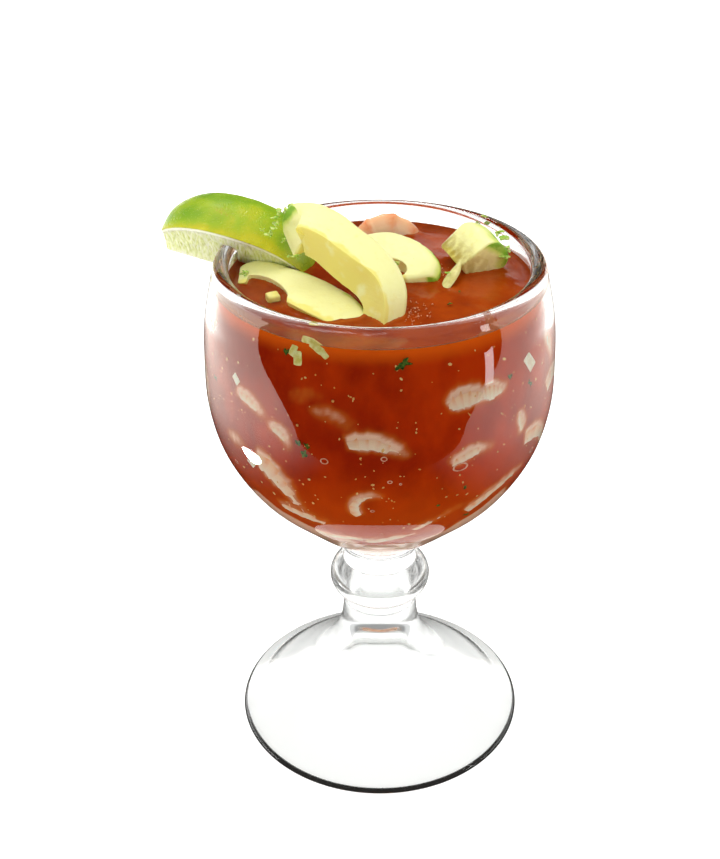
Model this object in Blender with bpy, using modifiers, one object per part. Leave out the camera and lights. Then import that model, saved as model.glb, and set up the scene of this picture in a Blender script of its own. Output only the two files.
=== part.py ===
"""Prawn cocktail in a heavy footed goblet, with avocado slices and a lime wedge on its rim.

Metres, +Z up. The goblet stands on Z = 0. The lime wedge reaches out over the rim on -X, so
the origin, which is the middle of the whole cocktail's footprint, lies beside the goblet's axis,
and everything hangs on one empty that stands on that axis.
"""

import math

import bmesh
import bpy
from mathutils import Matrix, Vector

# --- Where the goblet's axis stands, and how finely round pieces are cut -------------------
AXIS_X = 0.0065
TURNED_STEPS = 44
CLEARANCE = 0.00045  # a grown copy's corners draw back to about 0.3 mm

# --- Goblet: (radius, height) points that its turned profile passes through -----------------
RIM_TOP = 0.1720
RIM_BEAD_RADIUS = 0.0026
RIM_MIDDLE_RADIUS = 0.0475
BOWL_OUTSIDE = [
    (0.0501, 0.1694),
    (0.0530, 0.1554),
    (0.05395, 0.1413),
    (0.05365, 0.1272),
    (0.0501, 0.1130),
    (0.0419, 0.0989),
    (0.0302, 0.0869),
    (0.0210, 0.0784),
    (0.0156, 0.0742),
    (0.0126, 0.0712),
    (0.0121, 0.0660),
]
BOWL_INSIDE = [
    (0.0, 0.0885),
    (0.0130, 0.0896),
    (0.0260, 0.0940),
    (0.0375, 0.1025),
    (0.0464, 0.1140),
    (0.0500, 0.1280),
    (0.0503, 0.1420),
    (0.0490, 0.1560),
    (0.0449, 0.1694),
]
KNOP_RADIUS = 0.0168
KNOP_HALF_HEIGHT = 0.0104
KNOP_HEIGHT = 0.0566
NECK_RADIUS = 0.0121
FOOT_OUTSIDE = [
    (0.0123, 0.0460),
    (0.0132, 0.0380),
    (0.0158, 0.0305),
    (0.0210, 0.0235),
    (0.0290, 0.0165),
    (0.0380, 0.0095),
    (0.0450, 0.0048),
    (0.0482, 0.0026),
    (0.0487, 0.0016),
    (0.0480, 0.0005),
]
FOOT_RING = (0.0466, 0.0434)  # the flat ring that it stands on, outer and inner radius
FOOT_HOLLOW = [
    (0.0434, 0.0),
    (0.0370, 0.0045),
    (0.0290, 0.0098),
    (0.0210, 0.0150),
    (0.0145, 0.0210),
    (0.0100, 0.0275),
    (0.0068, 0.0333),
    (0.0040, 0.0358),
    (0.0, 0.0362),
]

# --- Sauce ----------------------------------------------------------------------------------
SAUCE_LEVEL = 0.1640
SAUCE_MOUND = 0.0008  # how much the thick sauce stands up in the middle
MENISCUS_RISE = 0.0012
MENISCUS_WIDTH = 0.0030
SAUCE_FILM = 0.0004  # left free between the sauce and the glass

# --- Lime wedge: a sixth of a lime, its ends trimmed, hung on the rim by a slit --------------
LIME_HALF_LENGTH = 0.0270
LIME_RADIUS = 0.0235
LIME_FULLNESS = 2.4  # 2 is an ellipse's outline, more is blunter
LIME_HALF_ANGLE = math.radians(25.0)
LIME_OUTER_TRIM = 0.0222
LIME_INNER_TRIM = 0.0262
LIME_CORE = Vector((-0.0459, 0.0191, 0.1597))
LIME_YAW = math.radians(-12.3)
LIME_TILT = math.radians(12.2)
LIME_LEAN = math.radians(15.0)

# --- Avocado slices: a centre line, the way the cut face looks, and the section's sizes ------
SLICE_STATIONS = 13
AVOCADOS = {
    "avocado_long": {
        "path": [
            (-0.0285, -0.0015, 0.1805),
            (-0.0230, -0.0010, 0.1825),
            (-0.0170, -0.0045, 0.1825),
            (-0.0085, -0.0110, 0.1785),
            (-0.0010, -0.0165, 0.1735),
            (0.0020, -0.0220, 0.1680),
            (0.0010, -0.0265, 0.1600),
            (0.0000, -0.0295, 0.1540),
        ],
        "facing": ((0.22, -0.65, 0.75), (0.35, -0.40, 0.65), (0.75, -0.35, 0.30)),
        "width": 0.0133,
        "pit_side": 0.0116,
        "skin_side": 0.0130,
        "blunt": (0.55, 0.60),
        "hollow": (0.0, 1.0, 0.0),
    },
    "avocado_front": {
        "path": [
            (-0.0422, 0.0040, 0.1635),
            (-0.0370, 0.0035, 0.1645),
            (-0.0280, -0.0050, 0.1648),
            (-0.0185, -0.0150, 0.1648),
            (-0.0120, -0.0215, 0.1642),
            (-0.0065, -0.0275, 0.1630),
        ],
        "facing": ((0.0, 0.0, 1.0), (0.0, -0.05, 1.0), (0.0, -0.15, 1.0)),
        "width": 0.0175,
        "pit_side": 0.0040,
        "skin_side": 0.0060,
        "blunt": (0.63, 0.36),
        "hollow": (0.08, 0.52, 0.0045),
    },
    "avocado_back": {
        "path": [
            (-0.0065, 0.0200, 0.1665),
            (0.0010, 0.0165, 0.1670),
            (0.0070, 0.0105, 0.1670),
            (0.0110, 0.0035, 0.1665),
            (0.0122, -0.0030, 0.1650),
        ],
        "facing": ((0.0, -0.25, 0.95), (0.0, -0.25, 0.95), (0.05, -0.20, 0.95)),
        "width": 0.0160,
        "pit_side": 0.0060,
        "skin_side": 0.0090,
        "blunt": (0.50, 0.50),
        "hollow": (0.45, 0.95, 0.0040),
    },
    "avocado_chunk": {
        "path": [
            (0.0260, 0.0200, 0.1690),
            (0.0282, 0.0155, 0.1690),
            (0.0303, 0.0108, 0.1685),
            (0.0325, 0.0060, 0.1675),
        ],
        "facing": ((-0.50, -0.30, 0.80), (-0.50, -0.30, 0.80), (-0.50, -0.30, 0.80)),
        "width": 0.0150,
        "pit_side": 0.0120,
        "skin_side": 0.0125,
        "blunt": (0.72, 0.98),
        "hollow": (0.0, 1.0, 0.0),
    },
}

# --- Prawns that break the surface: peeled tails, curled, with their backs up ----------------
PRAWN_STATIONS = 19
PRAWN_SIDES = 8
PRAWN_SEGMENTS = 6
PRAWNS = {
    "prawn_middle": {"centre": (0.0025, 0.0370, 0.1578), "curl": 0.0085, "girth": 0.0046,
                     "yaw": math.radians(4.0), "lean": math.radians(-8.0)},
    "prawn_left": {"centre": (-0.0185, 0.0360, 0.1605), "curl": 0.0070, "girth": 0.0044,
                   "yaw": math.radians(20.0), "lean": math.radians(-6.0)},
}

# --- Colours --------------------------------------------------------------------------------
COLOURS = {
    "glass": (0.90, 0.93, 0.92),
    "sauce": (0.38, 0.025, 0.004),
    "avocado": (0.80, 0.76, 0.26),
    "lime": (0.28, 0.50, 0.03),
    "prawn": (0.85, 0.42, 0.22),
}


def smooth_curve(points, steps):
    """Points on a curve through all of points, with steps of them to each span."""
    knots = [Vector(p) for p in points]
    knots = [2 * knots[0] - knots[1]] + knots + [2 * knots[-1] - knots[-2]]
    curve = []
    for before, start, end, after in zip(knots, knots[1:], knots[2:], knots[3:]):
        # the tangents are scaled by each span's length, which keeps uneven spans from looping
        span = (end - start).length
        leave = (end - before) * span / ((end - start).length + (start - before).length)
        arrive = (after - start) * span / ((after - end).length + (end - start).length)
        for step in range(steps):
            t = step / steps
            curve.append(
                start * (2 * t**3 - 3 * t**2 + 1)
                + leave * (t**3 - 2 * t**2 + t)
                + end * (3 * t**2 - 2 * t**3)
                + arrive * (t**3 - t**2)
            )
    return curve + [knots[-2]]


def arc(centre, radii, start, end, steps):
    """Points (radius, height) on an elliptic arc between two angles, both in degrees."""
    angles = [math.radians(start + (end - start) * k / steps) for k in range(steps + 1)]
    return [
        Vector((centre[0] + radii[0] * math.cos(a), centre[1] + radii[1] * math.sin(a)))
        for a in angles
    ]


def dressed(name, roughness=0.4, transmission=0.0):
    """A Principled material in one of the cocktail's colours."""
    made = bpy.data.materials.new(name)
    made.use_nodes = True
    shader = made.node_tree.nodes["Principled BSDF"]
    shader.inputs["Base Color"].default_value = (*COLOURS[name], 1.0)
    shader.inputs["Roughness"].default_value = roughness
    shader.inputs["Metallic"].default_value = 0.0
    shader.inputs["Transmission Weight"].default_value = transmission
    return made


def placed(name, mesh, collection, material, axis):
    """A new object on the goblet's axis, in its collection and material."""
    made = bpy.data.objects.new(name, mesh)
    collection.objects.link(made)
    made.parent = axis
    mesh.materials.append(material)
    return made


def mesh_of(name, bm):
    """A finished bmesh as a smooth-shaded mesh whose faces point out."""
    bmesh.ops.recalc_face_normals(bm, faces=bm.faces)
    mesh = bpy.data.meshes.new(name)
    bm.to_mesh(mesh)
    bm.free()
    mesh.shade_smooth()
    mesh.set_sharp_from_angle(angle=math.radians(40))
    return mesh


def turned(name, profile, collection, material, axis):
    """A round piece: its profile runs from the axis to the axis, down its outer side."""
    bm = bmesh.new()
    corners = [bm.verts.new((radius, 0.0, height)) for radius, height in profile]
    for first, second in zip(corners, corners[1:]):
        bm.edges.new((first, second))
    mesh = bpy.data.meshes.new(name)
    bm.to_mesh(mesh)
    bm.free()
    piece = placed(name, mesh, collection, material, axis)
    screw = piece.modifiers.new("Turn", "SCREW")
    screw.steps = screw.render_steps = TURNED_STEPS
    screw.use_merge_vertices = True
    screw.merge_threshold = 0.00001
    screw.use_smooth_shade = True
    return piece


def goblet_profile():
    """Up the bowl's inside, over the rim's bead, down the outside, and up under the foot."""
    inside = smooth_curve(BOWL_INSIDE, 1)[:-1]
    middle = (RIM_MIDDLE_RADIUS, RIM_TOP - RIM_BEAD_RADIUS)
    bead = arc(middle, (RIM_BEAD_RADIUS, RIM_BEAD_RADIUS), 180, 0, 6)[:-1]
    outside = smooth_curve(BOWL_OUTSIDE, 2)[:-1]
    crease = math.degrees(math.acos(NECK_RADIUS / KNOP_RADIUS))
    knop = arc((0.0, KNOP_HEIGHT), (KNOP_RADIUS, KNOP_HALF_HEIGHT), crease, -crease, 8)
    foot = smooth_curve(FOOT_OUTSIDE, 1)
    ring = [Vector((radius, 0.0)) for radius in FOOT_RING]
    hollow = smooth_curve(FOOT_HOLLOW, 1)[1:]
    return inside + bead + outside + knop + foot + ring + hollow


def inside_radius(height):
    """The bowl's inner radius at a height."""
    wall = smooth_curve(BOWL_INSIDE, 12)
    for low, high in zip(wall, wall[1:]):
        if low.y <= height <= high.y:
            return low.x + (high.x - low.x) * (height - low.y) / (high.y - low.y)
    return wall[-1].x


def sauce_profile():
    """Out over the surface, up the meniscus, and down the glass with a film's gap."""
    shore = SAUCE_LEVEL + MENISCUS_RISE
    edge = inside_radius(shore) - SAUCE_FILM
    surface = [Vector((0.0, SAUCE_LEVEL + SAUCE_MOUND))]
    surface += [
        Vector((edge * share, SAUCE_LEVEL + SAUCE_MOUND * (1 - share**2)))
        for share in (0.25, 0.5, 0.75)
    ]
    for share in (1.0, 0.5, 0.2, 0.0):
        rise = MENISCUS_RISE * (1 - share) ** 2
        surface.append(Vector((edge - MENISCUS_WIDTH * share, SAUCE_LEVEL + rise)))
    wall = [
        Vector((max(0.0, p.x - SAUCE_FILM), p.y + (SAUCE_FILM if p.x < 0.03 else 0.0)))
        for p in reversed(smooth_curve(BOWL_INSIDE, 1))
        if p.y < SAUCE_LEVEL - 0.002
    ]
    return surface + wall


def lime_wedge(collection, material, axis):
    """A wedge of a whole fruit, cut along its core, with both ends trimmed."""
    bm = bmesh.new()
    bmesh.ops.create_uvsphere(bm, u_segments=48, v_segments=20, radius=1.0)
    bmesh.ops.rotate(bm, verts=bm.verts, matrix=Matrix.Rotation(math.pi / 2, 3, "Y"))
    for vert in bm.verts:
        share = min(1.0, abs(vert.co.x))
        ring = math.sqrt(max(1.0 - share**2, 1e-9))
        fuller = math.sqrt(max(1.0 - share**LIME_FULLNESS, 0.0)) / ring
        vert.co = Vector((
            vert.co.x * LIME_HALF_LENGTH,
            vert.co.y * LIME_RADIUS * fuller,
            vert.co.z * LIME_RADIUS * fuller,
        ))
    cosine, sine = math.cos(LIME_HALF_ANGLE), math.sin(LIME_HALF_ANGLE)
    cuts = [
        (Vector((0, 0, 0)), Vector((0, cosine, -sine))),
        (Vector((0, 0, 0)), Vector((0, -cosine, -sine))),
        (Vector((-LIME_OUTER_TRIM, 0, 0)), Vector((-1, 0, 0))),
        (Vector((LIME_INNER_TRIM, 0, 0)), Vector((1, 0, 0))),
    ]
    for point, away in cuts:
        geometry = bm.verts[:] + bm.edges[:] + bm.faces[:]
        cut = bmesh.ops.bisect_plane(
            bm, geom=geometry, plane_co=point, plane_no=away, clear_outer=True, dist=1e-7
        )
        edges = [g for g in cut["geom_cut"] if isinstance(g, bmesh.types.BMEdge)]
        bmesh.ops.holes_fill(bm, edges=edges)
    bmesh.ops.remove_doubles(bm, verts=bm.verts, dist=1e-5)
    wedge = placed("lime_wedge", mesh_of("lime_wedge", bm), collection, material, axis)
    turn = Matrix.Rotation(LIME_YAW, 4, "Z") @ Matrix.Rotation(LIME_TILT, 4, "Y")
    wedge.matrix_local = (
        Matrix.Translation(LIME_CORE) @ turn @ Matrix.Rotation(LIME_LEAN, 4, "X")
    )
    return wedge


def lofted(name, rings, collection, material, axis):
    """A closed body through a row of rings with equal numbers of points."""
    bm = bmesh.new()
    rows = [[bm.verts.new(point) for point in ring] for ring in rings]
    count = len(rows[0])
    for row, following in zip(rows, rows[1:]):
        for k in range(count):
            after = (k + 1) % count
            bm.faces.new((row[k], row[after], following[after], following[k]))
    for row in (rows[0], rows[-1]):
        bm.faces.new(row)
    return placed(name, mesh_of(name, bm), collection, material, axis)


def stations(path, facing, count):
    """(share, point, skin direction, face direction) at even spaces along a path."""
    curve = smooth_curve(path, 16)
    found = []
    for k in range(count):
        share = 0.5 - 0.5 * math.cos(math.pi * k / (count - 1))
        place = share * (len(curve) - 1)
        low = min(int(place), len(curve) - 2)
        point = curve[low].lerp(curve[low + 1], place - low)
        along = (curve[low + 1] - curve[low]).normalized()
        half = int(share >= 0.5)
        look = Vector(facing[half]).lerp(Vector(facing[half + 1]), 2 * share - half)
        look = (look - along * look.dot(along)).normalized()
        found.append((share, point, look.cross(along), look))
    return found


def slice_section(width, pit_side, skin_side, hollow):
    """(towards the skin, towards the cut face) points round a slice: flat cuts, round skin."""
    bulge = 0.30 * width
    pit = -width / 2 + hollow
    section = [(pit, -pit_side / 2), (pit, pit_side / 2)]
    for angle in (90, 45, 0, -45, -90):
        turn = math.radians(angle)
        section.append((
            width / 2 - bulge + bulge * math.cos(turn),
            skin_side / 2 * math.sin(turn),
        ))
    return section


def avocado_slice(name, sizes, collection, material, axis):
    """A slice that follows its path, drawn in at both ends, with the stone's hollow in it."""
    rings = []
    first, last = sizes["blunt"]
    start, end, depth = sizes["hollow"]
    for share, point, skin, look in stations(sizes["path"], sizes["facing"], SLICE_STATIONS):
        blunt = first + (last - first) * share
        size = blunt + (1 - blunt) * math.sqrt(max(0.0, 1 - (2 * share - 1) ** 2))
        inside = max(0.0, math.sin(math.pi * (share - start) / (end - start)))
        hollow = depth * inside**0.5 if start < share < end else 0.0
        section = slice_section(
            sizes["width"] * size, sizes["pit_side"] * size, sizes["skin_side"] * size, hollow
        )
        rings.append([point + skin * a + look * b for a, b in section])
    return lofted(name, rings, collection, material, axis)


def prawn(name, sizes, collection, material, axis):
    """A curled tail: a tapering body round an arc, ringed by its segments."""
    rings = []
    turn = Matrix.Rotation(sizes["yaw"], 3, "Z") @ Matrix.Rotation(sizes["lean"], 3, "X")
    for k in range(PRAWN_STATIONS):
        share = k / (PRAWN_STATIONS - 1)
        angle = math.radians(200 - 250 * share)
        out = Vector((math.cos(angle), 0.0, math.sin(angle)))
        taper = math.sin(math.pi * (0.12 + 0.80 * share)) ** 0.5 * (1.0 - 0.30 * share)
        ridge = 1.0 + 0.07 * abs(math.sin(math.pi * PRAWN_SEGMENTS * share))
        girth = sizes["girth"] * taper * ridge
        ring = []
        for side in range(PRAWN_SIDES):
            around = 2 * math.pi * side / PRAWN_SIDES
            reach = sizes["curl"] + girth * math.cos(around)
            ring.append(out * reach + Vector((0.0, 0.85 * girth * math.sin(around), 0.0)))
        rings.append([Vector(sizes["centre"]) + turn @ point for point in ring])
    return lofted(name, rings, collection, material, axis)


def keep_clear(piece, neighbours, cutters):
    """Cuts a piece back from grown copies of the pieces that it lies against."""
    for neighbour in neighbours:
        grown = neighbour.copy()
        grown.data = neighbour.data.copy()
        grown.name = f"room_for_{neighbour.name}"
        cutters.objects.link(grown)
        grown.hide_render = True
        grown.display_type = "WIRE"
        swell = grown.modifiers.new("Grow", "DISPLACE")
        swell.strength = CLEARANCE
        swell.mid_level = 0.0
        cut = piece.modifiers.new(f"Clear of {neighbour.name}", "BOOLEAN")
        cut.operation = "DIFFERENCE"
        cut.solver = "EXACT"
        cut.object = grown


def build():
    for old in list(bpy.data.objects):
        bpy.data.objects.remove(old, do_unlink=True)
    cocktail = bpy.data.collections.new("prawn_cocktail")
    cutters = bpy.data.collections.new("cutters")
    for collection in (cocktail, cutters):
        bpy.context.scene.collection.children.link(collection)
    axis = bpy.data.objects.new("goblet_axis", None)
    axis.location = (AXIS_X, 0.0, 0.0)
    cocktail.objects.link(axis)

    glass = dressed("glass", roughness=0.02, transmission=1.0)
    sauce_red = dressed("sauce", roughness=0.15)
    flesh = dressed("avocado", roughness=0.45)
    rind = dressed("lime", roughness=0.35)
    prawn_pink = dressed("prawn", roughness=0.30)

    goblet = turned("goblet", goblet_profile(), cocktail, glass, axis)
    sauce = turned("sauce", sauce_profile(), cocktail, sauce_red, axis)
    lime = lime_wedge(cocktail, rind, axis)
    keep_clear(lime, [goblet], cutters)

    slices = {
        name: avocado_slice(name, sizes, cocktail, flesh, axis)
        for name, sizes in AVOCADOS.items()
    }
    tails = {
        name: prawn(name, sizes, cocktail, prawn_pink, axis) for name, sizes in PRAWNS.items()
    }
    keep_clear(slices["avocado_long"], [lime], cutters)
    keep_clear(slices["avocado_front"], [lime, slices["avocado_long"], goblet], cutters)
    keep_clear(slices["avocado_back"], [slices["avocado_long"]], cutters)
    keep_clear(sauce, [lime, *slices.values(), *tails.values()], cutters)


build()
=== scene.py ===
"""The looks of a prawn cocktail in a heavy glass goblet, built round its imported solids.

Each sub-assembly is a class that holds its sizes and builds its meshes. Sizes are in millimetres
from the goblet's axis and from the surface that it stands on, unless a name says otherwise, and
laid() turns a finished mesh into the frame's metres. +X is to the right seen from the front, +Y
is away from the front, and a place on the bowl's wall is an angle round it from the front
towards +X, in degrees, with a height.
"""

import bisect
import logging
import math
import random
from collections.abc import Callable, Iterable, Iterator, Sequence
from contextlib import contextmanager
from dataclasses import dataclass
from enum import Enum
from functools import lru_cache

import bmesh
import bpy
from mathutils import Matrix, Vector, noise
from mathutils.bvhtree import BVHTree


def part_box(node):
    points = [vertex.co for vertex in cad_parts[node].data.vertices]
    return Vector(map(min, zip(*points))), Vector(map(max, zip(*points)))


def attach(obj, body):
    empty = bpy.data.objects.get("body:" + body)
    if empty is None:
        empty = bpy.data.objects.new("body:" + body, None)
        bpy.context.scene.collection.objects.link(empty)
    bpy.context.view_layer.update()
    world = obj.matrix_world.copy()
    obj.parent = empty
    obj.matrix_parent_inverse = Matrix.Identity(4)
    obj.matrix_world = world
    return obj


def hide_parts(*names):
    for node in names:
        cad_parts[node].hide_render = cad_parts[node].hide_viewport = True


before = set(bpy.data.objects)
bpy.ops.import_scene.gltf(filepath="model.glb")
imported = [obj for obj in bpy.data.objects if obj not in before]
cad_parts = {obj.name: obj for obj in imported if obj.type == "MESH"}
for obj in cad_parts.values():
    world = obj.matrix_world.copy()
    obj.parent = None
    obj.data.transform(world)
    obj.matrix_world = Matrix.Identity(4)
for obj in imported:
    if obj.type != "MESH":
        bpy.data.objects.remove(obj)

LOG = logging.getLogger("prawn_cocktail")
MM = 0.001

Piece = bpy.types.Object
Material = bpy.types.Material
Socket = bpy.types.NodeSocket
Ring = Sequence[Vector]
Places = tuple[tuple[float, ...], ...]


# --- Colours and nodes ----------------------------------------


def linear(hex_colour: str) -> tuple[float, float, float, float]:
    """Turns an sRGB colour into the linear one that shaders work in.

    Args:
        hex_colour: "#RRGGBB".

    Returns:
        Linear red, green, blue and an alpha of 1.
    """
    parts = [int(hex_colour[k : k + 2], 16) / 255 for k in (1, 3, 5)]
    lit = [p / 12.92 if p <= 0.04045 else ((p + 0.055) / 1.055) ** 2.4 for p in parts]
    return (*lit, 1.0)


def add_node(
    tree: bpy.types.NodeTree,
    kind: str,
    inputs: dict | None = None,
    stops: Sequence[tuple[float, str]] = (),
    **settings: object,
) -> bpy.types.Node:
    """Adds a node with its settings, values and links.

    Args:
        tree: the tree that takes it.
        kind: the node's type.
        inputs: socket name or number to a value, or to the output socket that it is linked to.
        stops: a colour ramp's places and hex colours.
        **settings: the node's own properties.

    Returns:
        The new node.
    """
    node = tree.nodes.new(kind)
    for key, value in settings.items():
        setattr(node, key, value)
    if stops:
        points = node.color_ramp.elements
        while len(points) < len(stops):
            points.new(0.5)
        for point, (place, colour) in zip(points, stops):
            point.position = place
            point.color = linear(colour)
    for key, value in (inputs or {}).items():
        if isinstance(value, Socket):
            tree.links.new(value, node.inputs[key])
        else:
            node.inputs[key].default_value = value
    return node


def per_size(size: float) -> float:
    """A texture's scale for a feature of a size in millimetres, on Object coordinates."""
    return 1.0 / (size * MM)


class Coat:
    """A new material with its tree, its Principled shader and its Object coordinates."""

    def __init__(self, name: str, **values: object) -> None:
        """Args:
            name: the material's name.
            **values: the shader's constants, with _ for the spaces in a socket's name.
        """
        self.material = bpy.data.materials.new(name)
        self.material.use_nodes = True
        self.tree = self.material.node_tree
        self.shader = self.tree.nodes["Principled BSDF"]
        self.place = add_node(self.tree, "ShaderNodeTexCoord").outputs["Object"]
        for key, value in values.items():
            self.shader.inputs[key.replace("_", " ")].default_value = value

    def node(self, kind: str, inputs: dict | None = None, **settings: object) -> bpy.types.Node:
        """Adds a node to this material's tree."""
        return add_node(self.tree, kind, inputs, **settings)

    def axes(self) -> Sequence[Socket]:
        """Where a point of the piece is, along X, Y and Z, in metres."""
        return self.node("ShaderNodeSeparateXYZ", {0: self.place}).outputs

    def attribute(self, name: str) -> bpy.types.Node:
        """Reads one of the piece's own attributes."""
        return self.node("ShaderNodeAttribute", attribute_name=name)

    def grain(
        self, size: float, detail: float = 3.0, stretch: Sequence[float] = ()
    ) -> Socket:
        """Cloudy noise of a real size.

        Args:
            size: the size of its patches, in millimetres.
            detail: how many finer octaves it has.
            stretch: scale along each axis, for a grain that runs one way.

        Returns:
            The noise's value, around 0.5.
        """
        where = self.place
        if stretch:
            where = self.node("ShaderNodeMapping", {"Vector": where, "Scale": stretch}).outputs[0]
        made = self.node(
            "ShaderNodeTexNoise", {"Vector": where, "Scale": per_size(size), "Detail": detail}
        )
        return made.outputs[0]

    def ramp(self, value: Socket, *stops: tuple[float, str]) -> Socket:
        """Turns a value into colours by stops."""
        return self.node("ShaderNodeValToRGB", {"Fac": value}, stops=stops).outputs["Color"]

    def mixed(
        self, share: object, first: object, second: object, how: str = "MIX"
    ) -> Socket:
        """Mixes two colours; each argument is a value or the socket that gives it."""
        made = self.node(
            "ShaderNodeMix", {0: share, 6: first, 7: second}, data_type="RGBA", blend_type=how
        )
        return made.outputs[2]

    def stepped(
        self, value: object, low: float, high: float, start: float = 0.0, end: float = 1.0
    ) -> Socket:
        """Maps low..high to start..end, with a smooth step.

        Args:
            value: the socket that is read.
            low: the value that gives start.
            high: the value that gives end.
            start: the result at low and under it.
            end: the result at high and over it.

        Returns:
            The socket with the result.
        """
        made = self.node(
            "ShaderNodeMapRange",
            {"Value": value, "From Min": low, "From Max": high, "To Min": start, "To Max": end},
            interpolation_type="SMOOTHSTEP",
        )
        return made.outputs[0]

    def times(self, first: object, second: object) -> Socket:
        """Multiplies two values."""
        made = self.node("ShaderNodeMath", {0: first, 1: second}, operation="MULTIPLY")
        return made.outputs[0]

    def bumped(self, height: Socket, depth: float, strength: float = 1.0) -> None:
        """Gives the surface relief.

        Args:
            height: the relief's height, 0 to 1.
            depth: what 1 stands for, in millimetres.
            strength: the share of it that shows.
        """
        before = self.shader.inputs["Normal"].links
        chain = {"Normal": before[0].from_socket} if before else {}
        made = self.node(
            "ShaderNodeBump",
            {"Height": height, "Distance": depth * MM, "Strength": strength, **chain},
        )
        self.tree.links.new(made.outputs[0], self.shader.inputs["Normal"])

    def coloured(self, colour: Socket) -> None:
        """Links the base colour."""
        self.tree.links.new(colour, self.shader.inputs["Base Color"])

    def dulled(self, roughness: Socket) -> None:
        """Links the roughness."""
        self.tree.links.new(roughness, self.shader.inputs["Roughness"])


# --- Finishes -------------------------------------------------


@dataclass(frozen=True)
class PressedGlass:
    """Thick pressed soda-lime glass: clear, polished by fire, faintly green where it is deep."""

    tint: str = "#FBFDFC"
    index: float = 1.52
    softness: float = 0.11
    soft_under: float = 66.0
    bright_over: float = 76.0

    def material(self) -> Material:
        """The goblet's clear glass.

        Returns:
            The material.
        """
        coat = Coat(
            "pressed_glass",
            Base_Color=linear(self.tint),
            Roughness=0.0,
            IOR=self.index,
            Transmission_Weight=1.0,
        )
        # slow waves of a pressed surface, which bend the lines seen through it a little
        coat.bumped(coat.grain(14.0, 1.0), 0.05, 0.35)
        # the mould leaves the knop and foot less bright than the bowl, so lines in them are soft
        _, _, height = coat.axes()
        low, high = self.soft_under * MM, self.bright_over * MM
        coat.dulled(coat.stepped(height, low, high, self.softness, 0.0))
        return coat.material


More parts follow.
